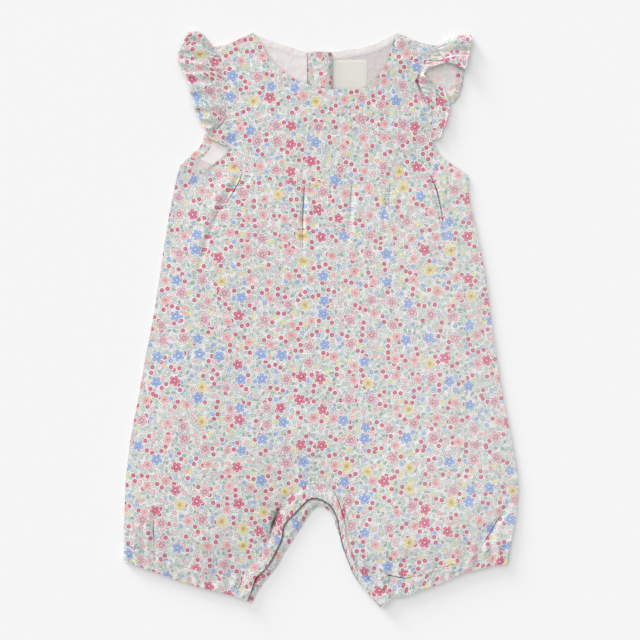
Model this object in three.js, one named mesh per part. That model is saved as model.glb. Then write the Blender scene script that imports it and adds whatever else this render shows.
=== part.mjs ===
// A baby romper laid flat on its back: printed cotton front and back, gathered flutter
// sleeves, elastic cuffs, a buttoned opening down the back and poppers along the inner legs.
// Millimetres. +Y points to the neck and +Z up from the surface that the romper lies on.
import * as THREE from 'three';

// Driving sizes
const CLOTH = 1;
const SEAM_GAP = 0.4;
const CUFF_GAP = 0.8;
const LAYER_GAP = 0.3;
const POPPER_THICKNESS = 1.8;
const POPPER_RADIUS = 4;
const BUTTON_THICKNESS = 1.6;
const BUTTON_RADIUS = 5;
const FRONT_BAND_WIDTH = 9;
const BACK_BAND_WIDTH = 15;
const NECK_FACING_WIDTH = 5.5;
const ARMHOLE_FACING_WIDTH = 7.5;
const LABEL = { left: 11, right: 36.7, top: 203.2, bottom: 177 };
const BUTTON_BAND = { left: -9.8, right: 9.1, top: 209, bottom: 105.2 };

// Heights of the middle of a layer
const BACK_LEVEL = CLOTH / 2;
const SECOND_LEVEL = BACK_LEVEL + CLOTH + LAYER_GAP;
const BAND_LEVEL = CLOTH + 2 * LAYER_GAP + POPPER_THICKNESS + CLOTH / 2;
const OVER_BAND_LEVEL = BUTTON_THICKNESS + LAYER_GAP + CLOTH / 2;
const UNDER_BAND_LEVEL = OVER_BAND_LEVEL + CLOTH + LAYER_GAP;
const CUFF_LEVEL = 3.2;
const SLEEVE_LEVEL = 4.2;

// How the front domes over the back, and how far in from its edges that takes
const FRONT_RISE = 3.6;
const RISE_REACH = 60;
const BAND_REACH = 40;
const CUFF_REACH = 26;
const TRIM_REACH = 10;

// Side seams, a row for each height
const sideSeams = [
  { y: 113, left: -111, right: 115.5 },
  { y: 94, left: -115.5, right: 116.5 },
  { y: 62, left: -121, right: 123.5 },
  { y: 31, left: -125.5, right: 129.5 },
  { y: 0, left: -130.5, right: 133.5 },
  { y: -31, left: -136.5, right: 138 },
  { y: -62, left: -142, right: 143 },
  { y: -94, left: -148, right: 149.5 },
  { y: -125, left: -151.5, right: 154.5 },
  { y: -148, left: -152.5, right: 153.5 },
  { y: -172, left: -152.5, right: 149 },
];

// Front armholes, from the underarm up to where the bust seam meets them, then to the shoulder
const leftUnderarm = [
  { x: -109, y: 121 }, { x: -104, y: 118 }, { x: -98, y: 116.5 }, { x: -92, y: 116.5 },
  { x: -85, y: 120 }, { x: -76.5, y: 127 },
];
const rightUnderarm = [
  { x: 115.5, y: 113 }, { x: 107.5, y: 118.5 }, { x: 101.5, y: 122.5 }, { x: 96.5, y: 126 },
];
const leftArmhole = [
  { x: -76.5, y: 127 }, { x: -72.5, y: 131 }, { x: -72, y: 135.5 }, { x: -77, y: 138.5 },
  { x: -84.5, y: 140.5 }, { x: -87.5, y: 145 }, { x: -83, y: 148 }, { x: -75.5, y: 156 },
  { x: -74, y: 166 }, { x: -75, y: 176 }, { x: -76, y: 187 }, { x: -77, y: 197 },
  { x: -79.5, y: 205 }, { x: -83.5, y: 213 },
];
const rightArmhole = [
  { x: 96.5, y: 126 }, { x: 92.5, y: 129.5 }, { x: 90.5, y: 134 }, { x: 88, y: 139.5 },
  { x: 87, y: 148 }, { x: 87.5, y: 157 }, { x: 87, y: 165 }, { x: 83.5, y: 171 },
  { x: 79, y: 178 }, { x: 77, y: 184.5 }, { x: 78, y: 192 }, { x: 81, y: 199 },
  { x: 86, y: 206.5 }, { x: 92, y: 213.5 },
];

// Shoulders, necklines and the seam under the bust, from left to right
const leftShoulder = [{ x: -83.5, y: 213 }, { x: -72, y: 215.5 }, { x: -52, y: 224 }];
const rightShoulder = [{ x: 59.5, y: 224 }, { x: 76.5, y: 217 }, { x: 92, y: 213.5 }];
const frontNeck = [
  { x: -52, y: 224 }, { x: -45, y: 214 }, { x: -39, y: 203 }, { x: -27.5, y: 192.5 },
  { x: -15.5, y: 185.5 }, { x: 5, y: 180.2 }, { x: 20, y: 179.5 }, { x: 35, y: 181.5 },
  { x: 43, y: 187 }, { x: 50.5, y: 198 }, { x: 56, y: 210.5 }, { x: 59.5, y: 224 },
];
const leftBackNeck = [
  { x: -52, y: 224 }, { x: -45, y: 220.5 }, { x: -31, y: 215.5 }, { x: -10.2, y: 209.2 },
];
const rightBackNeck = [
  { x: 9.5, y: 209.2 }, { x: 20, y: 210.5 }, { x: 35, y: 213 }, { x: 47, y: 217.5 },
  { x: 59.5, y: 224 },
];
const bustSeam = [
  { x: -76.5, y: 127 }, { x: -61, y: 117 }, { x: -39, y: 109 }, { x: -12, y: 104.5 },
  { x: 14, y: 104.5 }, { x: 40.5, y: 107 }, { x: 60, y: 108.5 }, { x: 86, y: 113.5 },
  { x: 96.5, y: 126 },
];
const leftBackArmhole = [
  { x: -83.5, y: 213 }, { x: -79.5, y: 205 }, { x: -77, y: 197 }, { x: -76, y: 187 },
  { x: -75, y: 176 }, { x: -75.5, y: 166 }, { x: -80, y: 157 }, { x: -89, y: 149 },
  { x: -93, y: 137 }, { x: -101, y: 129 }, { x: -109, y: 121 },
];
const rightBackArmhole = [
  { x: 92, y: 213.5 }, { x: 86, y: 206.5 }, { x: 81, y: 199 }, { x: 78, y: 192 },
  { x: 77, y: 184.5 }, { x: 79, y: 178 }, { x: 83.5, y: 171 }, { x: 87, y: 165 },
  { x: 87, y: 157 }, { x: 85.5, y: 148 }, { x: 86, y: 138 }, { x: 93, y: 125.5 },
  { x: 103, y: 119.5 }, { x: 115.5, y: 113 },
];
const leftBackSeam = [{ x: -101, y: 129 }, { x: -60, y: 112 }, { x: -10.2, y: 105.2 }];
const rightBackSeam = [{ x: 9.5, y: 105.2 }, { x: 60, y: 108.5 }, { x: 93, y: 125.5 }];

// Inner legs, from the left hem over the crotch to the right hem: the front's edge and the back's
const innerLegs = [
  { frontX: -57, frontY: -219, backX: -53, backY: -221 },
  { frontX: -53.5, frontY: -210.5, backX: -49.5, backY: -213 },
  { frontX: -50.5, frontY: -201.5, backX: -43.5, backY: -204 },
  { frontX: -41.5, frontY: -192, backX: -33.5, backY: -192 },
  { frontX: -35.5, frontY: -181.5, backX: -28, backY: -182 },
  { frontX: -30.5, frontY: -171, backX: -22, backY: -172.5 },
  { frontX: -28.5, frontY: -160, backX: -13, backY: -159 },
  { frontX: -20, frontY: -150.5, backX: -6, backY: -149 },
  { frontX: -6, frontY: -138.5, backX: 0, backY: -145.5 },
  { frontX: 7, frontY: -143, backX: 9.5, backY: -151.5 },
  { frontX: 13, frontY: -152, backX: 12.5, backY: -161 },
  { frontX: 15.5, frontY: -162.5, backX: 15, backY: -168 },
  { frontX: 18, frontY: -174.5, backX: 17, backY: -176 },
  { frontX: 22.8, frontY: -188.5, backX: 21.8, backY: -188.5 },
  { frontX: 28.5, frontY: -201, backX: 27.5, backY: -201 },
  { frontX: 38, frontY: -213, backX: 37.5, backY: -213 },
  { frontX: 48.5, frontY: -224, backX: 47.5, backY: -224.5 },
];

// Cuffs, from the side seam inwards: the gathered seam above and the hem below
const leftCuffSeam = [
  { x: -152.5, y: -175 }, { x: -138, y: -180 }, { x: -125, y: -185 }, { x: -113, y: -190.5 },
  { x: -100.5, y: -194 }, { x: -88, y: -197.5 }, { x: -77, y: -201 },
];
const leftHem = [
  { x: -153, y: -188 }, { x: -143.5, y: -192 }, { x: -130, y: -196.5 }, { x: -117, y: -201 },
  { x: -102, y: -206 }, { x: -86.5, y: -210.5 },
];
const rightCuffSeam = [
  { x: 149, y: -173.5 }, { x: 132.5, y: -179.5 }, { x: 120, y: -184 }, { x: 109, y: -189 },
  { x: 99, y: -192 }, { x: 89, y: -193.5 }, { x: 78, y: -196.5 }, { x: 65.5, y: -200 },
  { x: 54, y: -199.5 },
];
const rightHem = [
  { x: 146, y: -190.5 }, { x: 135, y: -191.5 }, { x: 124, y: -194.5 }, { x: 113, y: -197.5 },
  { x: 102, y: -202 }, { x: 88.5, y: -207.5 }, { x: 77.5, y: -211.5 }, { x: 68, y: -215 },
];
const LEFT_CUFF_DEPTH = 12.5;
const RIGHT_CUFF_DEPTH = 25;

// Pleats that run down from the seam under the bust, and the long crease over the right leg.
// A fold dips along its line and swells on one side of it (ridge -1 left, 1 right, looking
// from its start to its end).
const folds = [
  { startX: -61, startY: 115, bendX: -73, bendY: 91, endX: -101, endY: 24,
    dip: 1.7, width: 3, ridge: 1 },
  { startX: -54, startY: 113, bendX: -64, bendY: 93, endX: -62, endY: 60,
    dip: 1, width: 2.4, ridge: -1 },
  { startX: -12, startY: 104, bendX: -15, bendY: 62, endX: -12, endY: -8,
    dip: 1.8, width: 3, ridge: -1 },
  { startX: 25, startY: 104, bendX: 23, bendY: 70, endX: 17, endY: 23,
    dip: 1.1, width: 3, ridge: 1 },
  { startX: 54.5, startY: 106, bendX: 51.5, bendY: 82, endX: 53, endY: 40,
    dip: 1.2, width: 3, ridge: -1 },
  { startX: 86, startY: 112, bendX: 95, bendY: 82, endX: 103, endY: 30,
    dip: 1.7, width: 3, ridge: -1 },
  { startX: 150, startY: -142, bendX: 128, bendY: -172, endX: 118, endY: -184,
    dip: 1, width: 3, ridge: -1 },
  { startX: -129.5, startY: -152, bendX: -130, bendY: -170, endX: -122, endY: -182,
    dip: 1, width: 3, ridge: 1 },
];

// Flutter sleeves: a row for each section from the shoulder fold down, seam to hem, on the
// front half and on the back half that lies beneath it. bow lifts a section's middle.
const leftSleeveFront = [
  { seamX: -84, seamY: 213, hemX: -103.5, hemY: 222.5, bow: 4.5 },
  { seamX: -82.3, seamY: 209, hemX: -107, hemY: 216, bow: 2 },
  { seamX: -80, seamY: 204, hemX: -110, hemY: 208, bow: 0.5 },
  { seamX: -78, seamY: 198, hemX: -110, hemY: 200, bow: 0 },
  { seamX: -77, seamY: 192, hemX: -105.5, hemY: 191.5, bow: 0 },
  { seamX: -76.5, seamY: 185, hemX: -102, hemY: 184, bow: 0 },
  { seamX: -75.5, seamY: 176, hemX: -99.5, hemY: 175.5, bow: 0 },
  { seamX: -74.6, seamY: 166, hemX: -96.5, hemY: 166, bow: 0 },
  { seamX: -76.2, seamY: 157, hemX: -93.5, hemY: 157.5, bow: 0 },
  { seamX: -81.5, seamY: 150.5, hemX: -89.5, hemY: 148.5, bow: 0 },
];
const leftSleeveBack = [
  { seamX: -84, seamY: 213, hemX: -103.5, hemY: 222.5, bow: 4.5 },
  { seamX: -80, seamY: 204.5, hemX: -107.5, hemY: 207, bow: 0 },
  { seamX: -77.5, seamY: 196, hemX: -107, hemY: 197.5, bow: 0 },
  { seamX: -76.5, seamY: 186.5, hemX: -101, hemY: 187, bow: 0 },
  { seamX: -75.5, seamY: 176, hemX: -97, hemY: 176, bow: 0 },
  { seamX: -76.2, seamY: 166, hemX: -94, hemY: 166.5, bow: 0 },
  { seamX: -81, seamY: 158, hemX: -91, hemY: 158.5, bow: 0 },
];
const rightSleeveFront = [
  { seamX: 92.5, seamY: 213.5, hemX: 118, hemY: 219.5, bow: 3 },
  { seamX: 89.5, seamY: 210.5, hemX: 117.5, hemY: 214, bow: 1 },
  { seamX: 86.5, seamY: 206.5, hemX: 116.5, hemY: 208.5, bow: 0 },
  { seamX: 84.5, seamY: 204, hemX: 115, hemY: 202.5, bow: 0 },
  { seamX: 83.5, seamY: 202, hemX: 112.5, hemY: 195.5, bow: 3 },
  { seamX: 82.5, seamY: 200.5, hemX: 105, hemY: 202, bow: 0 },
  { seamX: 81, seamY: 198, hemX: 94.5, hemY: 199.5, bow: 0 },
  { seamX: 79.5, seamY: 194.5, hemX: 85, hemY: 196, bow: 0 },
  { seamX: 78.6, seamY: 191, hemX: 81.5, hemY: 191, bow: 0 },
  { seamX: 77.7, seamY: 186.5, hemX: 86.5, hemY: 186.5, bow: 0 },
  { seamX: 78.3, seamY: 182, hemX: 96, hemY: 181.5, bow: 0 },
  { seamX: 80.5, seamY: 177, hemX: 99, hemY: 175.5, bow: 0 },
  { seamX: 84.3, seamY: 171, hemX: 101, hemY: 169.5, bow: 0 },
  { seamX: 87.8, seamY: 165, hemX: 101.8, hemY: 163.5, bow: 0 },
  { seamX: 88.2, seamY: 157, hemX: 101.8, hemY: 154, bow: 0 },
  { seamX: 88, seamY: 148.5, hemX: 99.5, hemY: 145, bow: 0 },
  { seamX: 89.2, seamY: 141, hemX: 93.5, hemY: 140, bow: 0 },
];
const rightSleeveBack = [
  { seamX: 92.5, seamY: 213.5, hemX: 118, hemY: 219.5, bow: 3 },
  { seamX: 87, seamY: 207, hemX: 115, hemY: 208.5, bow: 0 },
  { seamX: 82, seamY: 200, hemX: 113, hemY: 198.5, bow: 0 },
  { seamX: 78.7, seamY: 192, hemX: 111.5, hemY: 191, bow: 0 },
  { seamX: 77.8, seamY: 184.5, hemX: 110.5, hemY: 184.5, bow: 0 },
  { seamX: 80.2, seamY: 177.5, hemX: 108.5, hemY: 177, bow: 0 },
  { seamX: 84.5, seamY: 171, hemX: 104, hemY: 169.5, bow: 0 },
  { seamX: 88, seamY: 164, hemX: 100.5, hemY: 162.5, bow: 0 },
  { seamX: 88, seamY: 155, hemX: 99, hemY: 153.5, bow: 0 },
];
const SLEEVE_WAVES = { count: 7, frontHeight: 1.3, backHeight: 0.8 };
const CUFF_WAVES = { count: 7, height: 0.5 };
const GATHER_HEIGHT = 0.6;

// Buttons and poppers
const buttonHeights = [199, 162, 125];
const popperShares = [0.1, 0.23, 0.36, 0.5, 0.64, 0.77, 0.9];

const smooth = (value) => THREE.MathUtils.smoothstep(value, 0, 1);
const mix = THREE.MathUtils.lerp;

// A line in the plane, read by the share of its length from 0 to 1
class Line {
  constructor(at) {
    this.at = at;
  }

  static through(rows, xColumn = 'x', yColumn = 'y') {
    const points = rows.map((row) => new THREE.Vector3(row[xColumn], row[yColumn], 0));
    const curve = new THREE.CatmullRomCurve3(points, false, 'centripetal');
    return new Line((share) => curve.getPointAt(THREE.MathUtils.clamp(share, 0, 1)));
  }

  // The same, but read by the place in the table, so that two columns stay in step
  static bySection(rows, xColumn, yColumn) {
    const points = rows.map((row) => new THREE.Vector3(row[xColumn], row[yColumn], 0));
    const curve = new THREE.CatmullRomCurve3(points, false, 'centripetal');
    return new Line((share) => curve.getPoint(share));
  }

  // Lines end to end, each with a share by its length or by the count of columns given for it
  static joined(lines, columns) {
    const lengths = columns || lines.map((line) => line.length);
    const total = lengths.reduce((sum, length) => sum + length, 0);
    return new Line((share) => {
      let left = share * total;
      let index = 0;
      while (index < lines.length - 1 && left > lengths[index]) {
        left -= lengths[index];
        index += 1;
      }
      return lines[index].at(Math.min(left / lengths[index], 1));
    });
  }

  get length() {
    const points = this.sampled(200);
    return points.slice(1).reduce((sum, point, i) => sum + point.distanceTo(points[i]), 0);
  }

  sampled(steps) {
    return Array.from({ length: steps + 1 }, (_, i) => this.at(i / steps));
  }

  // Straight from point to point, each step an even share
  static stepping(points) {
    return new Line((share) => {
      const place = THREE.MathUtils.clamp(share, 0, 1) * (points.length - 1);
      const index = Math.min(Math.floor(place + 1e-6), points.length - 2);
      return points[index].clone().lerp(points[index + 1], place - index);
    });
  }

  part(from, to) {
    return new Line((share) => this.at(mix(from, to, share)));
  }

  shifted(dx, dy) {
    return new Line((share) => this.at(share).add(new THREE.Vector3(dx, dy, 0)));
  }

  // Moved sideways, to the left of the way that the line runs
  offset(distance) {
    const step = 0.004;
    return new Line((share) => {
      const before = this.at(Math.max(share - step, 0));
      const after = this.at(Math.min(share + step, 1));
      const way = after.sub(before).normalize();
      return this.at(share).add(new THREE.Vector3(-way.y, way.x, 0).multiplyScalar(distance));
    });
  }

  // The share at which a measure of the point is greatest
  shareOfMost(measure) {
    const steps = 2000;
    let best = 0;
    for (let i = 1; i <= steps; i += 1) {
      if (measure(this.at(i / steps)) > measure(this.at(best))) best = i / steps;
    }
    return best;
  }
}

function distanceTo(points, x, y) {
  let best = Infinity;
  for (let i = 0; i < points.length - 1; i += 1) {
    const a = points[i];
    const b = points[i + 1];
    const dx = b.x - a.x;
    const dy = b.y - a.y;
    const along = ((x - a.x) * dx + (y - a.y) * dy) / (dx * dx + dy * dy || 1);
    const share = THREE.MathUtils.clamp(along, 0, 1);
    best = Math.min(best, Math.hypot(a.x + share * dx - x, a.y + share * dy - y));
  }
  return best;
}

// The lines that bound the pieces
const lines = {
  leftSide: Line.through([leftUnderarm[0], ...sideSeams.map(({ y, left }) => ({ x: left, y }))]),
  rightSide: Line.through(sideSeams.map(({ y, right }) => ({ x: right, y }))),
  leftUnderarm: Line.through(leftUnderarm),
  rightUnderarm: Line.through(rightUnderarm),
  leftArmhole: Line.through(leftArmhole),
  rightArmhole: Line.through(rightArmhole),
  leftShoulder: Line.through(leftShoulder),
  rightShoulder: Line.through(rightShoulder),
  frontNeck: Line.through(frontNeck),
  leftBackNeck: Line.through(leftBackNeck),
  rightBackNeck: Line.through(rightBackNeck),
  bustSeam: Line.through(bustSeam),
  leftBackArmhole: Line.through(leftBackArmhole),
  rightBackArmhole: Line.through(rightBackArmhole),
  leftBackSeam: Line.through(leftBackSeam),
  rightBackSeam: Line.through(rightBackSeam),
  frontInnerLegs: Line.through(innerLegs, 'frontX', 'frontY'),
  backInnerLegs: Line.through(innerLegs, 'backX', 'backY'),
};
const frontBandSeam = lines.frontInnerLegs.offset(FRONT_BAND_WIDTH + SEAM_GAP);
const backBandSeam = lines.backInnerLegs.offset(BACK_BAND_WIDTH + SEAM_GAP);

// Where a cuff's inner end and the cloth above it meet a leg band, as shares of its length
const legLength = lines.frontInnerLegs.length;
const cuffShare = {
  left: LEFT_CUFF_DEPTH / legLength,
  right: 1 - RIGHT_CUFF_DEPTH / legLength,
};
const lowerEndShare = {
  left: (LEFT_CUFF_DEPTH + CUFF_GAP) / legLength,
  right: 1 - (RIGHT_CUFF_DEPTH + CUFF_GAP) / legLength,
};

// A cuff's seam and hem, from the side seam to the band that closes the inner leg
function cuffLines(side, bandSeam) {
  const seamRows = side === 'left' ? leftCuffSeam : rightCuffSeam;
  const hemRows = side === 'left' ? leftHem : rightHem;
  const seamEnd = bandSeam.at(cuffShare[side]);
  const hemEnd = bandSeam.at(side === 'left' ? 0 : 1);
  return {
    seam: Line.through([...seamRows, seamEnd]),
    hem: Line.through([...hemRows, hemEnd]),
  };
}

// How high the middle of the front lies above the surface
const outerEdges = ['leftSide', 'rightSide', 'leftUnderarm', 'rightUnderarm', 'leftArmhole',
  'rightArmhole', 'leftShoulder', 'rightShoulder'].map((name) => lines[name].sampled(40));
const trimBeneath = [
  lines.leftBackArmhole.part(0.64, 1).offset(ARMHOLE_FACING_WIDTH / 2),
  lines.leftBackNeck.offset(-NECK_FACING_WIDTH / 2),
  lines.rightBackNeck.offset(-NECK_FACING_WIDTH / 2),
].map((line) => line.sampled(20));
const bandSeamPoints = frontBandSeam.sampled(60);
const cuffSeamPoints = ['left', 'right'].map((side) => cuffLines(side, frontBandSeam).seam.sampled(30));

function nearest(polylines, x, y) {
  return Math.min(...polylines.map((points) => distanceTo(points, x, y)));
}

function foldRelief(fold, x, y) {
  const path = [
    new THREE.Vector2(fold.startX, fold.startY),
    new THREE.Vector2(fold.bendX, fold.bendY),
    new THREE.Vector2(fold.endX, fold.endY),
  ];
  const lengths = [path[0].distanceTo(path[1]), path[1].distanceTo(path[2])];
  let best = null;
  lengths.forEach((length, i) => {
    const way = path[i + 1].clone().sub(path[i]).divideScalar(length);
    const from = new THREE.Vector2(x, y).sub(path[i]);
    const along = THREE.MathUtils.clamp(from.dot(way), 0, length);
    const off = from.clone().sub(way.clone().multiplyScalar(along));
    const side = Math.sign(way.cross(from)) * -1;
    if (!best || off.length() < Math.abs(best.across)) {
      best = { across: side * off.length(), share: (i * lengths[0] + along) / (lengths[0] + lengths[1]) };
    }
  });
  const strength = 1 - smooth((best.share - 0.25) / 0.75);
  const dip = Math.exp(-((best.across / fold.width) ** 2));
  const swell = Math.exp(-(((best.across * fold.ridge - 2 * fold.width) / (1.5 * fold.width)) ** 2));
  return fold.dip * strength * (0.7 * swell - dip);
}

function frontLevel(x, y) {
  const rise = Math.min(nearest(outerEdges, x, y) / RISE_REACH, 1);
  let level = SECOND_LEVEL + FRONT_RISE * Math.sin((Math.PI / 2) * rise);
  level = mix(BAND_LEVEL, level, smooth(distanceTo(bandSeamPoints, x, y) / BAND_REACH));
  level = mix(CUFF_LEVEL, level, smooth(nearest(cuffSeamPoints, x, y) / CUFF_REACH));
  const lifted = SECOND_LEVEL + (CLOTH + LAYER_GAP) * smooth(2 - nearest(trimBeneath, x, y) / TRIM_REACH);
  folds.forEach((fold) => {
    level += foldRelief(fold, x, y);
  });
  return Math.max(level, lifted);
}

// A patch of cloth between four lines: u runs from left to right and v from top to bottom
function patch(top, bottom, left, right) {
  return (u, v) => {
    const corners = [[top.at(0), (1 - u) * (1 - v)], [top.at(1), u * (1 - v)],
      [bottom.at(0), (1 - u) * v], [bottom.at(1), u * v]];
    const point = new THREE.Vector3()
      .addScaledVector(top.at(u), 1 - v)
      .addScaledVector(bottom.at(u), v)
      .addScaledVector(left.at(v), 1 - u)
      .addScaledVector(right.at(v), u);
    corners.forEach(([corner, share]) => point.addScaledVector(corner, -share));
    return point;
  };
}

// Where on a patch a point of the plane lies, by Newton's method
function locate(place, x, y) {
  const step = 0.001;
  let u = 0.5;
  let v = 0.3;
  for (let i = 0; i < 20; i += 1) {
    const here = place(u, v);
    const du = place(u + step, v).sub(here).divideScalar(step);
    const dv = place(u, v + step).sub(here).divideScalar(step);
    const area = du.x * dv.y - du.y * dv.x;
    const dx = x - here.x;
    const dy = y - here.y;
    u = THREE.MathUtils.clamp(u + (dx * dv.y - dy * dv.x) / area, 0.01, 0.99);
    v = THREE.MathUtils.clamp(v + (du.x * dy - du.y * dx) / area, 0, 0.98);
  }
  return { u, v };
}

// A sheet is a list of points at the cloth's middle and the triangles between them
function gridSheet(columns, rows, place) {
  const points = [];
  const triangles = [];
  for (let r = 0; r <= rows; r += 1) {
    for (let c = 0; c <= columns; c += 1) {
      points.push(place(c / columns, r / rows, c, r));
      if (r < rows && c < columns) {
        const a = r * (columns + 1) + c;
        const b = a + columns + 1;
        triangles.push([a, b, b + 1], [a, b + 1, a + 1]);
      }
    }
  }
  return { points, triangles, columns };
}

function joinedSheets(sheets) {
  const points = [];
  const numbers = new Map();
  const numberOf = (point) => {
    const key = point.toArray().map((value) => value.toFixed(3)).join(' ');
    if (!numbers.has(key)) numbers.set(key, points.push(point) - 1);
    return numbers.get(key);
  };
  const triangles = sheets.flatMap((sheet) => sheet.triangles.map(
    (triangle) => triangle.map((corner) => numberOf(sheet.points[corner]))));
  return { points, triangles: triangles.filter(([a, b, c]) => a !== b && b !== c && c !== a) };
}

// Thickens a sheet to a closed wall: half the cloth to each side of it, with an upright rim
// along its edges where it lies level
function wall(sheet, thickness = CLOTH) {
  const { points, triangles } = joinedSheets([sheet]);
  const normals = points.map(() => new THREE.Vector3());
  const edges = new Map();
  triangles.forEach(([a, b, c]) => {
    const normal = points[b].clone().sub(points[a]).cross(points[c].clone().sub(points[a]));
    [a, b, c].forEach((corner) => normals[corner].add(normal));
    [[a, b], [b, c], [c, a]].forEach(([from, to]) => edges.set(`${from} ${to}`, [from, to]));
  });
  normals.forEach((normal) => normal.normalize());
  edges.forEach(([from, to]) => {
    if (edges.has(`${to} ${from}`)) return;
    [from, to].filter((end) => Math.abs(normals[end].z) > 0.6)
      .forEach((end) => normals[end].set(0, 0, Math.sign(normals[end].z)));
  });
  const side = (sign) => points.map((point, i) => {
    const moved = point.clone().addScaledVector(normals[i], (sign * thickness) / 2);
    moved.z = Math.max(moved.z, 0);
    return moved;
  });
  const count = points.length;
  const faces = triangles.flatMap(([a, b, c]) => [[a, b, c], [a + count, c + count, b + count]]);
  edges.forEach(([from, to]) => {
    if (edges.has(`${to} ${from}`)) return;
    faces.push([from + count, to + count, to], [from + count, to, from]);
  });
  return closedGeometry([...side(1), ...side(-1)], faces);
}

function closedGeometry(points, faces) {
  const volume = faces.reduce((sum, [a, b, c]) => (
    sum + points[a].dot(points[b].clone().cross(points[c]))), 0);
  const outward = volume > 0 ? faces : faces.map(([a, b, c]) => [a, c, b]);
  const geometry = new THREE.BufferGeometry();
  geometry.setAttribute('position', new THREE.Float32BufferAttribute(points.flatMap((p) => p.toArray()), 3));
  geometry.setIndex(outward.flat());
  geometry.computeVertexNormals();
  return geometry;
}

// Materials and meshes
const materials = {
  print: new THREE.MeshStandardMaterial({ color: '#d8c9cc', roughness: 0.9, metalness: 0 }),
  plain: new THREE.MeshStandardMaterial({ color: '#efe9e8', roughness: 0.92, metalness: 0 }),
  label: new THREE.MeshStandardMaterial({ color: '#ece6d8', roughness: 0.8, metalness: 0 }),
  button: new THREE.MeshStandardMaterial({ color: '#f4f1ec', roughness: 0.35, metalness: 0 }),
  popper: new THREE.MeshStandardMaterial({ color: '#c9cacc', roughness: 0.35, metalness: 1 }),
};
const romper = new THREE.Group();

function add(name, geometry, material) {
  const mesh = new THREE.Mesh(geometry, material);
  mesh.name = name;
  romper.add(mesh);
  return mesh;
}

// Flat pieces lie at one level
const atLevel = (place, level) => (u, v) => place(u, v).setZ(level);

// Rows of a lower body: even ones down to the crotch, then even ones down the leg
const CROTCH_SHARE = 0.65;
const LEG_ROWS = 9;
const FRONT_TRUNK_ROWS = 15;
const BACK_TRUNK_ROWS = 9;
const rowShare = (row, trunkRows) => (row <= trunkRows
  ? (CROTCH_SHARE * row) / trunkRows
  : mix(CROTCH_SHARE, 1, (row - trunkRows) / LEG_ROWS));

// Half of a lower body: from the seam above to the cuff, and from the side to the middle,
// which is the centre line above the crotch and the inner leg below it
function lowerHalf(side, bandSeam, topLine) {
  const left = side === 'left';
  const apex = bandSeam.shareOfMost((point) => point.y);
  const centre = new Line((share) => topLine.at(left ? 1 : 0).lerp(bandSeam.at(apex), share));
  const innerLeg = bandSeam.part(apex, lowerEndShare[side]);
  const middle = new Line((share) => (share <= CROTCH_SHARE
    ? centre.at(share / CROTCH_SHARE)
    : innerLeg.at((share - CROTCH_SHARE) / (1 - CROTCH_SHARE))));
  const outer = left ? lines.leftSide : lines.rightSide;
  const rows = (left ? leftCuffSeam : rightCuffSeam).map(({ x, y }) => ({ x, y: y + CUFF_GAP }));
  const cuff = Line.through([...rows, bandSeam.at(lowerEndShare[side])]);
  const bottom = left ? cuff : new Line((share) => cuff.at(1 - share));
  return left ? patch(topLine, bottom, outer, middle) : patch(topLine, bottom, middle, outer);
}

// The shares along a leg band at which the rows of the lower body and the cuffs meet it
function bandStations(bandSeam) {
  const apex = bandSeam.shareOfMost((point) => point.y);
  const leg = Array.from({ length: LEG_ROWS }, (_, i) => (i + 1) / LEG_ROWS);
  return [0, cuffShare.left / 2, cuffShare.left,
    ...leg.map((share) => mix(apex, lowerEndShare.left, share)).reverse(), apex,
    ...leg.map((share) => mix(apex, lowerEndShare.right, share)),
    cuffShare.right, (1 + cuffShare.right) / 2, 1];
}

// Columns of the lower front follow the pleats. Each pleat is a knot whose place across the
// patch is known at its start, bend and end and then runs on to an even share at the cuff.
function pleatColumns(place, knots, counts) {
  const total = counts.reduce((sum, count) => sum + count, 0);
  let passed = 0;
  const paths = knots.map((knot, i) => {
    passed += counts[i];
    return [
      { v: 0, u: locate(place, knot.startX, knot.startY).u },
      locate(place, knot.bendX, knot.bendY),
      locate(place, knot.endX, knot.endY),
      { v: 1, u: passed / total },
    ];
  });
  const knotShare = (path, v) => {
    const next = path.findIndex((point) => point.v >= v && point.v > 0);
    const a = path[next - 1];
    const b = path[next];
    return mix(a.u, b.u, (v - a.v) / (b.v - a.v));
  };
  return (column, v) => {
    const stops = [0, ...paths.map((path) => knotShare(path, v)), 1];
    let index = 0;
    let left = column;
    while (index < counts.length - 1 && left > counts[index]) {
      left -= counts[index];
      index += 1;
    }
    const share = left / counts[index];
    const bunched = share - (0.55 * Math.sin(2 * Math.PI * share)) / (2 * Math.PI);
    return mix(stops[index], stops[index + 1], bunched);
  };
}

const corner = (x, y, bendX, bendY, endX, endY) => ({ startX: x, startY: y, bendX, bendY, endX, endY });

function frontLowerHalf(side, topLine, knots, counts) {
  const place = lowerHalf(side, frontBandSeam, topLine);
  const across = pleatColumns(place, knots, counts);
  const columns = counts.reduce((sum, count) => sum + count, 0);
  return gridSheet(columns, FRONT_TRUNK_ROWS + LEG_ROWS, (share, down, column, row) => {
    const v = rowShare(row, FRONT_TRUNK_ROWS);
    const point = place(across(column, v), v);
    const edge = column === 0 || column === columns ? 0 : 1;
    const gather = edge * GATHER_HEIGHT * (column % 2 ? 1 : -1) * smooth((v - 0.86) / 0.14);
    return point.setZ(frontLevel(point.x, point.y) + gather);
  });
}

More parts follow.
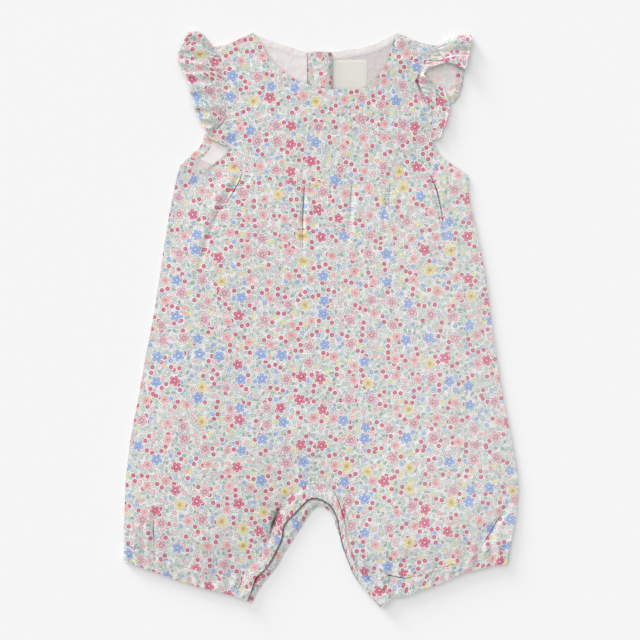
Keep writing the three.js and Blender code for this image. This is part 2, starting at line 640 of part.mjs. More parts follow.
const lowerSeam = lines.bustSeam.shifted(0, -SEAM_GAP / 2);
const seamMiddle = lines.bustSeam.shareOfMost((point) => -Math.abs(point.x));
const leftUnderarmSeam = lines.leftUnderarm.shifted(0, -SEAM_GAP / 2);
const leftLowerTop = Line.joined([leftUnderarmSeam, lowerSeam.part(0, seamMiddle)]);
const rightUnderarmSeam = new Line((share) => lines.rightUnderarm.at(1 - share)).shifted(0, -SEAM_GAP / 2);
const rightLowerTop = Line.joined([lowerSeam.part(seamMiddle, 1), rightUnderarmSeam]);
const leftKnots = [corner(-76.5, 126.8, -90, 80, -111, 10), folds[0], folds[1], folds[2]];
const rightKnots = [folds[3], folds[4], folds[5], corner(96.5, 125.8, 107, 82, 117, 10)];
const leftCounts = [3, 2, 2, 6, 2];
const rightCounts = [3, 4, 4, 2, 3];
const leftFront = frontLowerHalf('left', leftLowerTop, leftKnots, leftCounts);
const rightFront = frontLowerHalf('right', rightLowerTop, rightKnots, rightCounts);

// Front bodice: its columns meet those of the lower front along the seam under the bust
function frontBodice() {
  const leftTop = leftFront.points.slice(leftCounts[0], leftFront.columns + 1);
  const rightTop = rightFront.points.slice(1, rightFront.columns + 1 - rightCounts[4]);
  const seamPoints = [...leftTop, ...rightTop].map(({ x, y }) => new THREE.Vector3(x, y, 0));
  const columns = seamPoints.length - 1;
  const top = Line.joined([lines.leftShoulder, lines.frontNeck, lines.rightShoulder], [5, columns - 10, 5]);
  const bottom = Line.stepping(seamPoints).shifted(0, SEAM_GAP);
  const left = Line.joined([new Line((share) => lines.leftArmhole.at(1 - share))]);
  const right = Line.joined([new Line((share) => lines.rightArmhole.at(1 - share))]);
  const place = patch(top, bottom, left, right);
  return gridSheet(columns, 16, (u, v) => {
    const point = place(u, v);
    return point.setZ(frontLevel(point.x, point.y));
  });
}

// Back: two bodice halves and the lower back lie flat on the surface. They share a seam.
const BACK_COLUMNS = 9;

function backSide(side) {
  const left = side === 'left';
  const armhole = left ? lines.leftBackArmhole : lines.rightBackArmhole;
  const seam = left ? lines.leftBackSeam : lines.rightBackSeam;
  const meets = armhole.shareOfMost((point) => -point.distanceTo(seam.at(left ? 0 : 1)));
  return { left, armhole, seam, meets };
}

function backBodice(side) {
  const { left, armhole, seam, meets } = backSide(side);
  const opening = new Line((share) => new THREE.Vector3(seam.at(left ? 1 : 0).x,
    mix(left ? leftBackNeck[3].y : rightBackNeck[0].y, leftBackSeam[2].y, share), 0));
  const top = left
    ? Line.joined([lines.leftShoulder, lines.leftBackNeck])
    : Line.joined([lines.rightBackNeck, lines.rightShoulder]);
  const edge = armhole.part(0, meets);
  const place = left ? patch(top, seam, edge, opening) : patch(top, seam, opening, edge);
  return gridSheet(BACK_COLUMNS, 10, atLevel(place, BACK_LEVEL));
}

function backLower() {
  const halves = ['left', 'right'].map((side) => {
    const { left, armhole, seam, meets } = backSide(side);
    const underarm = new Line((share) => armhole.at(left ? mix(1, meets, share) : mix(meets, 1, share)));
    const centre = new THREE.Vector3(0, leftBackSeam[2].y, 0);
    const toCentre = new Line((share) => seam.at(left ? 1 : 0).lerp(centre, left ? share : 1 - share));
    const whole = left ? [underarm, seam, toCentre] : [toCentre, seam, underarm];
    const counts = left ? [1, BACK_COLUMNS, 1] : [1, BACK_COLUMNS, 2];
    const top = Line.joined(whole, counts).shifted(0, -SEAM_GAP);
    const place = lowerHalf(side, backBandSeam, top);
    return gridSheet(counts[0] + counts[1] + counts[2], BACK_TRUNK_ROWS + LEG_ROWS,
      (u, v, column, row) => place(u, rowShare(row, BACK_TRUNK_ROWS)).setZ(BACK_LEVEL));
  });
  return joinedSheets(halves);
}

// A strip of even width beside a line, at the given shares of its length
function strip(line, from, to, level, stations) {
  const edges = [line.offset(from), line.offset(to)];
  return gridSheet(stations.length - 1, 2, (u, v, column) => (
    edges[0].at(stations[column]).lerp(edges[1].at(stations[column]), v).setZ(level)));
}

const evenly = (steps) => Array.from({ length: steps + 1 }, (_, i) => i / steps);

// Two layers joined by a round fold: the front layer, the fold at its share 0, the back layer.
// A layer is read by u across it and by its share s from the fold.
function foldedSheet(frontLayer, backLayer, across, steps) {
  const rows = [];
  for (let i = steps.front; i >= 0; i -= 1) rows.push((u) => frontLayer(u, i / steps.front));
  for (let i = 1; i < steps.fold; i += 1) {
    const angle = Math.PI * (0.5 - i / steps.fold);
    rows.push((u) => {
      const front = frontLayer(u, 0);
      const back = backLayer(u, 0);
      const way = front.clone().sub(frontLayer(u, 0.02)).setZ(0).normalize();
      const radius = (front.z - back.z) / 2;
      const centre = front.clone().add(back).multiplyScalar(0.5);
      return centre.addScaledVector(way, radius * Math.cos(angle)).setZ(centre.z + radius * Math.sin(angle));
    });
  }
  for (let i = 0; i <= steps.back; i += 1) rows.push((u) => backLayer(u, i / steps.back));
  return gridSheet(across, rows.length - 1, (u, share, column, row) => rows[row](u));
}

// A flutter sleeve, gathered at the armhole and waving at its hem
function sleeve(frontRows, backRows) {
  const layer = (rows, level) => {
    const seam = Line.bySection(rows, 'seamX', 'seamY');
    const hem = Line.bySection(rows, 'hemX', 'hemY');
    const bowAt = (s) => {
      const place = s * (rows.length - 1);
      const row = Math.min(Math.floor(place), rows.length - 2);
      return mix(rows[row].bow, rows[row + 1].bow, place - row);
    };
    return (u, s) => {
      const point = seam.at(s).lerp(hem.at(s), u);
      point.y += bowAt(s) * 4 * u * (1 - u);
      return point.setZ(level(u, s));
    };
  };
  const turn = (s) => 2 * Math.PI * SLEEVE_WAVES.count * s;
  const frontHeight = (u, s) => (
    mix(SECOND_LEVEL, SLEEVE_LEVEL, smooth(u * 1.6)) + SLEEVE_WAVES.frontHeight * u * Math.sin(turn(s)));
  const backHeight = (u, s) => (
    BACK_LEVEL + (SLEEVE_WAVES.backHeight * u * (1 - Math.cos(turn(s)))) / 2);
  return foldedSheet(layer(frontRows, frontHeight), layer(backRows, backHeight), 5,
    { front: 28, fold: 4, back: 16 });
}

// A cuff: an elastic band that goes round the leg and ends at the inner leg's bands
function cuff(side) {
  const layer = (bandSeam, level) => {
    const { seam, hem } = cuffLines(side, bandSeam);
    return (u, s) => seam.at(s).lerp(hem.at(s), u).setZ(level(s));
  };
  const inner = side === 'left' ? SEAM_GAP : -SEAM_GAP;
  const frontHeight = (s) => CUFF_LEVEL + CUFF_WAVES.height * Math.sin(2 * Math.PI * CUFF_WAVES.count * s);
  const front = layer(frontBandSeam.shifted(-inner / 2, 0), frontHeight);
  const back = layer(backBandSeam.shifted(-inner / 2, 0), () => BACK_LEVEL);
  const inset = (place) => (u, s) => place(u, s).add(new THREE.Vector3(inner * 3 * (1 - s), 0, 0));
  return foldedSheet(inset(front), inset(back), 2, { front: 28, fold: 4, back: 14 });
}

// The button bands are folded strips: each is sewn to its bodice half at the surface and
// rises over the buttons
function buttonBand(profile) {
  const points = profile.map(([x, z]) => new THREE.Vector3(x, 0, z));
  return gridSheet(points.length - 1, 8, (u, v, column) => (
    points[column].clone().setY(mix(BUTTON_BAND.top, BUTTON_BAND.bottom, v))));
}

// A round fastener turned about its axis, standing on its underside
function turned(profile, segments) {
  const geometry = new THREE.LatheGeometry(profile.map(([r, z]) => new THREE.Vector2(r, z)), segments);
  return geometry.rotateX(Math.PI / 2);
}

add('back_lower', wall(backLower()), materials.print);
add('back_bodice_left', wall(backBodice('left')), materials.plain);
add('back_bodice_right', wall(backBodice('right')), materials.plain);
add('leg_band_back', wall(strip(lines.backInnerLegs, 0, BACK_BAND_WIDTH, BACK_LEVEL,
  bandStations(backBandSeam))), materials.print);
add('neck_facing_left', wall(strip(lines.leftBackNeck, -0.2, -NECK_FACING_WIDTH, SECOND_LEVEL,
  evenly(8))), materials.plain);
add('neck_facing_right', wall(strip(lines.rightBackNeck, -0.2, -NECK_FACING_WIDTH, SECOND_LEVEL,
  evenly(8))), materials.plain);
add('armhole_facing_left', wall(strip(lines.leftBackArmhole.part(0.66, 0.985), 0.2, ARMHOLE_FACING_WIDTH,
  SECOND_LEVEL, evenly(10))), materials.print);
add('button_band_over', wall(buttonBand([[-3.8, OVER_BAND_LEVEL], [1, OVER_BAND_LEVEL],
  [6.6, OVER_BAND_LEVEL], [8.2, BACK_LEVEL + 0.2], [BUTTON_BAND.right, BACK_LEVEL]])), materials.print);
add('button_band_under', wall(buttonBand([[BUTTON_BAND.left, BACK_LEVEL], [-8.5, BACK_LEVEL + 0.2],
  [-5.8, UNDER_BAND_LEVEL], [1, UNDER_BAND_LEVEL], [BUTTON_BAND.right, UNDER_BAND_LEVEL]])), materials.print);
add('label', wall(gridSheet(4, 4, (u, v) => new THREE.Vector3(
  mix(LABEL.left, LABEL.right, u), mix(LABEL.top, LABEL.bottom, v), SECOND_LEVEL))), materials.label);

buttonHeights.forEach((height, i) => {
  const rim = BUTTON_RADIUS;
  const top = BUTTON_THICKNESS;
  const profile = [[0, 0], [rim - 0.8, 0], [rim, 0.6], [rim, top - 0.5], [rim - 0.7, top],
    [rim - 1.6, top - 0.3], [0, top - 0.3]];
  add(`button_${i + 1}`, turned(profile, 20), materials.button).position.set(0.6, height, 0);
});

popperShares.forEach((share, i) => {
  const top = POPPER_THICKNESS;
  const profile = [[0, 0], [POPPER_RADIUS - 0.5, 0], [POPPER_RADIUS, 0.5], [POPPER_RADIUS, top - 0.5],
    [POPPER_RADIUS - 0.5, top], [0, top]];
  const place = lines.frontInnerLegs.offset(FRONT_BAND_WIDTH / 2).at(share);
  add(`popper_${i + 1}`, turned(profile, 12), materials.popper)
    .position.set(place.x, place.y, CLOTH + LAYER_GAP);
});

add('leg_band_front', wall(strip(lines.frontInnerLegs, 0, FRONT_BAND_WIDTH, BAND_LEVEL,
  bandStations(frontBandSeam))), materials.print);
add('front_lower', wall(joinedSheets([leftFront, rightFront])), materials.print);
add('front_bodice', wall(frontBodice()), materials.print);
add('sleeve_left', wall(sleeve(leftSleeveFront, leftSleeveBack)), materials.print);
add('sleeve_right', wall(sleeve(rightSleeveFront, rightSleeveBack)), materials.print);
add('cuff_left', wall(cuff('left')), materials.print);
add('cuff_right', wall(cuff('right')), materials.print);

// The origin goes under the middle of the romper, on the surface
const bounds = new THREE.Box3().setFromObject(romper);
const centre = bounds.getCenter(new THREE.Vector3());
romper.position.set(-centre.x, -centre.y, -bounds.min.z);

export default romper;
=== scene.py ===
# %% [markdown]
# # A baby romper, laid flat
# The real thing is a romper of thin printed cotton with two flutter sleeves, laid on its back on
# a table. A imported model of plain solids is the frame, so the names, sizes and places of the
# pieces are known before any cloth is made. Each cloth piece is built again here as a closed
# sheet fine enough for soft folds, with a printed right side and a pale wrong side.
# Lengths are in millimetres until a mesh is made, in the plan of that model's source.

# %% The frame
import math

import bpy
import numpy as np
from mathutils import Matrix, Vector


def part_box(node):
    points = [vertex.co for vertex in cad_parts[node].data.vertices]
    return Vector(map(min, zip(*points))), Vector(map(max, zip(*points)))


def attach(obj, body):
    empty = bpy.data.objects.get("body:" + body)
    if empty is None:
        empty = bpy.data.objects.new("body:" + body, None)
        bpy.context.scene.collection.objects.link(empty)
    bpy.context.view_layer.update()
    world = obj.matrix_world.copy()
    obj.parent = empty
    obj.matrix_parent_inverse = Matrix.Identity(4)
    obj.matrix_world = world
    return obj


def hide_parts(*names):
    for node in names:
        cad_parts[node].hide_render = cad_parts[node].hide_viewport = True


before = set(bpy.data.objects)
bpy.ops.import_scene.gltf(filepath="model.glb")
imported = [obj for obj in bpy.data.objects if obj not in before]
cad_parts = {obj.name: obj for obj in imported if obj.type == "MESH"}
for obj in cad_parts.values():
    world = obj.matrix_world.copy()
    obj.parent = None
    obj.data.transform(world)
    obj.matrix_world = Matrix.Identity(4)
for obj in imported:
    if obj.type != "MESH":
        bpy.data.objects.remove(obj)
scene = bpy.context.scene
MM = 0.001
TAU = 2 * math.pi
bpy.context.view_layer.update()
LABEL_LEFT, LABEL_LOW, LABEL_WIDE, LABEL_LONG = 11.0, 177.0, 25.7, 26.2
label_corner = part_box("label")[0]
SHIFT = np.array([label_corner.x / MM - LABEL_LEFT, label_corner.y / MM - LABEL_LOW])
print("nodes", len(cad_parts), "plan moved by", SHIFT.round(2))


# %% [markdown]
# ## Lines of the pattern
# A garment is sewn from a pattern of outlines. Here every outline is a smooth line through a few
# points of the plan, so that it can be cut, joined, moved and offset to make seams that meet.
# Curves drawn by eye would look the same, but two pieces that share a seam could drift apart.
# Left and right are the picture's.

# %% Sizes
CLOTH, JOIN = 0.7, 0.004
BACK, TRIM, SECOND, BAND, CUFF = 0.5, 1.0, 1.8, 3.9, 3.2  # heights of the middle of the cloth
FRONT_RISE, RISE_REACH, BAND_REACH, CUFF_REACH = 3.6, 60, 40, 26
HIGHEST = 6.7
CROTCH = 0.65  # share of the leg's height
SEAM_GAP = 0.06
BACK_BAND, BACK_BAND_SEAM, FRONT_BAND_CUT = 15, 15.2, 10.2
NECK_FACING, ARMHOLE_FACING = 5.5, 7.5
LEFT_CUFF_DEPTH, RIGHT_CUFF_DEPTH, CUFF_CUT = 12.5, 25, 13
OPENING_TOP, OPENING_LOW = 209, 105.2
SIDE_NAMES = ("left", "right")
print("cloth", CLOTH, "mm thick, the front up to", HIGHEST, "mm high")


# %% Outlines
SIDES = [  # y, left x, right x
    (113, -111, 115.5), (94, -115.5, 116.5), (62, -121, 123.5), (31, -125.5, 129.5),
    (0, -130.5, 133.5), (-31, -136.5, 138), (-62, -142, 143), (-94, -148, 149.5),
    (-125, -151.5, 154.5), (-148, -152.5, 153.5), (-172, -152.5, 149)]
INNER_LEGS = [  # front x, front y, back x, back y
    (-57, -219, -53, -221), (-53.5, -210.5, -49.5, -213), (-50.5, -201.5, -43.5, -204),
    (-41.5, -192, -33.5, -192), (-35.5, -181.5, -28, -182), (-30.5, -171, -22, -172.5),
    (-28.5, -160, -13, -159), (-20, -150.5, -6, -149), (-6, -138.5, 0, -145.5),
    (7, -143, 9.5, -151.5), (13, -152, 12.5, -161), (15.5, -162.5, 15, -168), (18, -174.5, 17, -176),
    (22.8, -188.5, 21.8, -188.5), (28.5, -201, 27.5, -201), (38, -213, 37.5, -213),
    (48.5, -224, 47.5, -224.5)]
FRONT_BAND = [  # share of its length, width
    (0, 9.5), (0.3, 8.5), (0.42, 11), (0.53, 10.5), (0.62, 7), (0.7, 5), (0.85, 5), (0.93, 9), (1, 11)]
OUTLINES = {
    "left_underarm": [(-109, 121), (-104, 118), (-98, 116.5), (-92, 116.5), (-85, 120), (-76.5, 127)],
    "right_underarm": [(115.5, 113), (107.5, 118.5), (101.5, 122.5), (96.5, 126)],
    "left_armhole": [
        (-76.5, 127), (-72.5, 131), (-72, 135.5), (-77, 138.5), (-84.5, 140.5), (-87.5, 145),
        (-83, 148), (-75.5, 156), (-74, 166), (-75, 176), (-76, 187), (-77, 197), (-79.5, 205), (-83.5, 213)],
    "right_armhole": [
        (96.5, 126), (92.5, 129.5), (90.5, 134), (88, 139.5), (87, 148), (87.5, 157), (87, 165),
        (83.5, 171), (79, 178), (77, 184.5), (78, 192), (81, 199), (86, 206.5), (92, 213.5)],
    "left_shoulder": [(-83.5, 213), (-72, 215.5), (-52, 224)],
    "right_shoulder": [(59.5, 224), (76.5, 217), (92, 213.5)],
    "front_neck": [
        (-52, 224), (-45, 214), (-39, 203), (-27.5, 192.5), (-15.5, 185.5), (5, 180.2), (20, 179.5),
        (35, 181.5), (43, 187), (50.5, 198), (56, 210.5), (59.5, 224)],
    "left_back_neck": [(-52, 224), (-45, 220.5), (-31, 215.5), (-10.2, 209.2)],
    "right_back_neck": [(9.5, 209.2), (20, 210.5), (35, 213), (47, 217.5), (59.5, 224)],
    "bust": [
        (-76.5, 127), (-61, 117), (-39, 109), (-12, 104.5), (14, 104.5), (40.5, 107), (60, 108.5),
        (86, 113.5), (96.5, 126)],
    "left_back_seam": [(-101, 129), (-60, 112), (-10.2, 105.2)],
    "right_back_seam": [(9.5, 105.2), (60, 108.5), (93, 125.5)],
    "left_cuff_seam": [
        (-152.5, -175), (-138, -180), (-125, -185), (-113, -190.5), (-100.5, -194), (-88, -197.5),
        (-77, -201)],
    "left_hem": [(-153, -188), (-143.5, -192), (-130, -196.5), (-117, -201), (-102, -206), (-86.5, -210.5)],
    "right_cuff_seam": [
        (149, -173.5), (132.5, -179.5), (120, -184), (109, -189), (99, -192), (89, -193.5),
        (78, -196.5), (65.5, -200), (54, -199.5)],
    "right_hem": [
        (146, -190.5), (135, -191.5), (124, -194.5), (113, -197.5), (102, -202), (88.5, -207.5),
        (77.5, -211.5), (68, -215)]}
OUTLINES["left_back_armhole"] = [  # both run from the shoulder down, at first with the front's
    *OUTLINES["left_armhole"][:8:-1], (-75.5, 166), (-80, 157), (-89, 149), (-93, 137), (-101, 129),
    (-109, 121)]
OUTLINES["right_back_armhole"] = [
    *OUTLINES["right_armhole"][:5:-1], (87, 157), (85.5, 148), (86, 138), (93, 125.5), (103, 119.5),
    (115.5, 113)]
print("outlines", len(OUTLINES), "with", sum(len(knots) for knots in OUTLINES.values()), "points")


# %% Smooth lines
def smooth_points(knots, per_span=24):
    """Points of a smooth line through the knots (a centripetal Catmull-Rom spline)."""
    k = np.asarray(knots, float)
    k = np.vstack([2 * k[0] - k[1], k, 2 * k[-1] - k[-2]])
    t = np.linspace(0, 1, per_span, endpoint=False)[:, None]
    spans = []
    for a, b, c, d in zip(k, k[1:], k[2:], k[3:]):
        g0, g1, g2 = (max(np.linalg.norm(q - p), 1e-6) ** 0.5 for p, q in ((a, b), (b, c), (c, d)))
        m1 = ((b - a) / g0 - (c - a) / (g0 + g1) + (c - b) / g1) * g1
        m2 = ((c - b) / g1 - (d - b) / (g1 + g2) + (d - c) / g2) * g1
        spans.append(b + t * m1 + t**2 * (3 * (c - b) - 2 * m1 - m2) + t**3 * (2 * (b - c) + m1 + m2))
    return np.vstack([*spans, k[-2:-1]])


class Line:
    """A line in the plan, kept as close points and read by its share of length."""

    def __init__(self, points):
        self.points = np.asarray(points, float)
        steps = np.linalg.norm(np.diff(self.points, axis=0), axis=1)
        self.run = np.concatenate([[0], np.cumsum(steps)])
        self.length = self.run[-1]

    def __call__(self, share):
        run = np.clip(share, 0, 1) * self.length
        return np.stack([np.interp(run, self.run, self.points[:, k]) for k in (0, 1)], -1)

    def __add__(self, other):
        return Line(np.vstack([self.points, other.points]))

    def part(self, start, end):
        return Line(self(np.linspace(start, end, 240)))

    def back(self):
        return Line(self.points[::-1])

    def moved(self, dx, dy):
        return Line(self.points + [dx, dy])

    def offset(self, distance):
        """Moved to the left of the way that it runs, by a distance or by rows of (share, distance)."""
        shares = np.linspace(0, 1, 480)
        points = self(shares)
        way = np.gradient(points, axis=0)
        way /= np.linalg.norm(way, axis=1, keepdims=True)
        reach = np.interp(shares, *zip(*distance))[:, None] if isinstance(distance, list) else distance
        return Line(points + reach * np.stack([-way[:, 1], way[:, 0]], 1))

    def share_of_most(self, measure):
        shares = np.linspace(0, 1, 2001)
        return shares[np.argmax(measure(self(shares)))]


line = {name: Line(smooth_points(knots)) for name, knots in OUTLINES.items()}
line["left_side"] = Line(smooth_points([(-109, 121), *((left, y) for y, left, right in SIDES)]))
line["right_side"] = Line(smooth_points([(right, y) for y, left, right in SIDES]))
line["front_legs"] = Line(smooth_points([row[:2] for row in INNER_LEGS]))
line["back_legs"] = Line(smooth_points([row[2:] for row in INNER_LEGS]))
front_band_seam = line["front_legs"].offset([(share, width + SEAM_GAP) for share, width in FRONT_BAND])
back_band_seam = line["back_legs"].offset(BACK_BAND_SEAM)
cuff_share = {"left": LEFT_CUFF_DEPTH / line["front_legs"].length,
              "right": 1 - RIGHT_CUFF_DEPTH / line["front_legs"].length}
print("lines", len(line), "inner legs", round(line["front_legs"].length), "mm")


# %% [markdown]
# ## Heights
# The front domes over the back and comes down to it at the outer edges, the crotch and the
# cuffs. The folds are placed one by one: each dips along its line and swells beside it. A cloth
# simulation could make folds too, but they would fall where they liked, and these have to lie
# where the real ones do. Slow ripples keep the cloth between the folds from looking ironed.

# %% Folds
FOLDS = [  # start, bend, end, depth, width, side of the swell (-1 left, 1 right), strength at the end
    ((-60, 117), (-79, 85), (-101, 22), 1.5, 2.4, 1, 0.55),
    ((-53, 118), (-64, 90), (-63, 66), 0.6, 2.2, -1, 0.0),
    ((-12, 106), (-14, 62), (-12, -8), 1.6, 1.8, -1, 0.0),
    ((25, 104.5), (23, 70), (17, 20), 0.9, 2.2, -1, 0.0),
    ((54.5, 107), (51, 82), (53, 36), 1.0, 2.4, -1, 0.0),
    ((85, 115), (94, 82), (104, 28), 1.6, 2.2, -1, 0.2),
    ((150, -140), (128, -172), (118, -184), 0.8, 3.2, -1, 0.4),
    ((-129.5, -148), (-130, -170), (-122, -182), 1.1, 2.4, 1, 0.7),
    ((-139, -158), (-139, -171), (-136, -180), 0.8, 2.0, 1, 0.7),
    ((-100, -19), (-101, -27), (-102, -36), 0.6, 2.4, 1, 0.3),
    ((101, 4), (103, -12), (105, -28), 0.6, 2.6, -1, 0.3),
    ((-94, -54), (-92, -74), (-89, -96), 0.6, 4, -1, 0.3),
    ((9, -132), (18, -146), (28, -170), 0.7, 3, 1, 0.4),
    ((-3, -133), (-12, -140), (-24, -152), 0.5, 2.6, -1, 0.4),
    ((-23.5, -135), (-36.5, -155), (-44.5, -178), 1.5, 2.2, -1, 0.4),
    ((-95, 6), (0, 3), (112, 8), 0.22, 2.0, 1, 1.0),
    ((-65, 100), (-30, 99), (0, 96), 0.25, 4, -1, 0.2)]
PLEATS = 6  # the first rows of FOLDS, which draw the cloth in
print("folds", len(FOLDS), "of which pleats", PLEATS)


# %% Distances and soft steps
def nearest(points, path):
    """Distance from a line, more than 0 on its right, and the share along it."""
    knots = path(np.linspace(0, 1, max(3, int(path.length / 3))))
    best = np.full(len(points), 1e9)
    across = np.zeros(len(points))
    share = np.zeros(len(points))
    for k, (a, b) in enumerate(zip(knots, knots[1:])):
        way = b - a
        along = np.clip(((points - a) @ way) / (way @ way), 0, 1)
        gap = points - a - along[:, None] * way
        far = np.hypot(gap[:, 0], gap[:, 1])
        closer = far < best
        best = np.where(closer, far, best)
        side = np.where(way[0] * gap[:, 1] - way[1] * gap[:, 0] > 0, -1.0, 1.0)
        across = np.where(closer, side * far, across)
        share = np.where(closer, (k + along) / (len(knots) - 1), share)
    return across, share


def distance(points, *paths):
    """How far points are from the nearest of some lines."""
    return np.min([np.abs(nearest(points, path)[0]) for path in paths], axis=0)


def ease(value):
    """A soft step from 0 to 1."""
    value = np.clip(value, 0, 1)
    return value * value * (3 - 2 * value)


print("a quarter of the way up a soft step", ease(0.25))


# %% Relief of the folds
def ripple(points, seed=0.0):
    """Slow, uneven waves of about a millimetre in all, as cloth that isn't ironed has."""
    x, y = points[:, 0], points[:, 1]
    waves = np.sin(x / 17 + 1.3 * np.sin(y / 41 + seed)) * np.sin(y / 37 + 0.8 * np.sin(x / 29) + seed)
    waves += 0.6 * np.sin(x / 7.1 + y / 23 + 2 * seed) * np.sin(y / 15.3 - x / 31)
    waves += 0.35 * np.sin(x / 4.3 - y / 9.7 + seed) * np.sin(y / 6.1 + x / 13)
    return waves


def fold_relief(points):
    """The height that the folds add, and how far the pleats have drawn the cloth sideways."""
    height = np.zeros(len(points))
    drawn = np.zeros(len(points))
    for index, (start, bend, end, depth, width, side, kept) in enumerate(FOLDS):
        across, share = nearest(points, Line(smooth_points([start, bend, end])))
        strength = (1 - ease((share - 0.1) / 0.9)) * (1 - kept) + kept
        strength = strength * (np.abs(across) < 40)
        if index < PLEATS:
            drawn += 3.2 * depth * strength**2 * ease(across / 1.8 + 0.5)
            strength = strength**2
        strength = strength * ease((1 - share) / 0.2) * ease(share / 0.15)
        dip = np.exp(-((across / (0.75 * width)) ** 2))
        swell = np.exp(-(((across * side - 2.1 * width) / (1.7 * width)) ** 2))
        height += depth * strength * (0.55 * swell - dip)
    return height, drawn


print("relief in the first pleat", fold_relief(np.array([[-62.0, 112.0]]))[0].round(2), "mm")


# %% Height of the front
outer_edges = [line[f"{side}_{part}"] for part in ("side", "underarm", "armhole", "shoulder")
               for side in SIDE_NAMES]
trim_lines = [line["left_back_armhole"].part(0.64, 1).offset(ARMHOLE_FACING / 2),
              *(line[side + "_back_neck"].offset(-NECK_FACING / 2) for side in SIDE_NAMES)]
cuff_seams = {}
hems = {}
for side in SIDE_NAMES:
    for kind, band_seam in (("front", front_band_seam), ("back", back_band_seam)):
        top_end, low_end = band_seam(cuff_share[side]), band_seam(SIDE_NAMES.index(side))
        cuff_seams[side, kind] = Line(smooth_points([*OUTLINES[side + "_cuff_seam"], top_end]))
        hems[side, kind] = Line(smooth_points([*OUTLINES[side + "_hem"], low_end]))
front_cuffs = [cuff_seams[side, "front"] for side in SIDE_NAMES]


def front_level(points):
    """Height of the front at points of the plan, the cloth drawn in, and how far a cuff is."""
    rise = np.minimum(distance(points, *outer_edges) / RISE_REACH, 1)
    level = SECOND + FRONT_RISE * np.sin(rise * math.pi / 2)
    to_band = ease(distance(points, front_band_seam) / BAND_REACH)
    level = BAND + (level - BAND) * to_band
    to_cuff = distance(points, *front_cuffs)
    level = CUFF + (level - CUFF) * ease(to_cuff / CUFF_REACH)
    lifted = SECOND + 1.3 * ease(2 - distance(points, *trim_lines) / 10)
    relief, drawn = fold_relief(points)
    level = level + relief + 0.27 * ripple(points) * np.minimum(rise * 3, 1)
    return np.clip(level, lifted, HIGHEST), drawn, to_cuff


print("height in the middle of the front", front_level(np.zeros((1, 2)))[0].round(2), "mm")


# %% [markdown]
# ## Sheets
# A sheet is a grid of points at the middle of the cloth, each with its place on the flat cut
# piece, as cloth has before it is sewn. The print is read from that place, so it follows the
# cloth. `make_cloth` welds a piece's grids and thickens them to one closed shell. A Solidify
# modifier could thicken them too, but here the underside has to stop at the table, the trims
# thin out to their edges, and the two sides have materials of their own.

# %% Patches
def grid(columns, rows, place):
    """A grid of points: place takes shares u across and v down, and gives points and cut places."""
    u, v = np.meshgrid(np.linspace(0, 1, columns + 1), np.linspace(0, 1, rows + 1))
    points, cut = place(u.ravel(), v.ravel())
    return {"points": points, "cut": cut, "columns": columns, "rows": rows}


def patch(top, bottom, left, right):
    """The plan of a piece between four lines: u runs from left to right, v from top to bottom."""
    def place(u, v):
        u, v = u[:, None], v[:, None]
        edges = (1 - v) * top(u[:, 0]) + v * bottom(u[:, 0]) + (1 - u) * left(v[:, 0]) + u * right(v[:, 0])
        corners = (1 - u) * (1 - v) * top(0) + u * (1 - v) * top(1)
        return edges - corners - (1 - u) * v * bottom(0) - u * v * bottom(1)
    return place


def stacked(points, heights):
    """Places of the plan with their heights."""
    return np.column_stack([points, np.broadcast_to(heights, len(points))])


def welded(grids):
    """The points of all the grids with doubles joined, their cut places and the quads."""
    points = np.vstack([g["points"] for g in grids])
    cut = np.vstack([g["cut"] for g in grids])
    _, first, number = np.unique((points / JOIN).round().astype(int), axis=0,
                                 return_index=True, return_inverse=True)
    quads, start = [], 0
    for g in grids:
        row = g["columns"] + 1
        a = (np.arange(g["rows"])[:, None] * row + np.arange(g["columns"])[None]).ravel() + start
        quads.append(np.column_stack([a, a + row, a + row + 1, a + 1]))
        start += row * (g["rows"] + 1)
    quads = number.ravel()[np.vstack(quads)]
    return points[first], cut[first], quads


square = grid(3, 2, lambda u, v: (stacked(np.column_stack([u, v]), 0), np.column_stack([u, v])))
print("a grid of 3 by 2 has", len(square["points"]), "points and", len(welded([square])[2]), "quads")


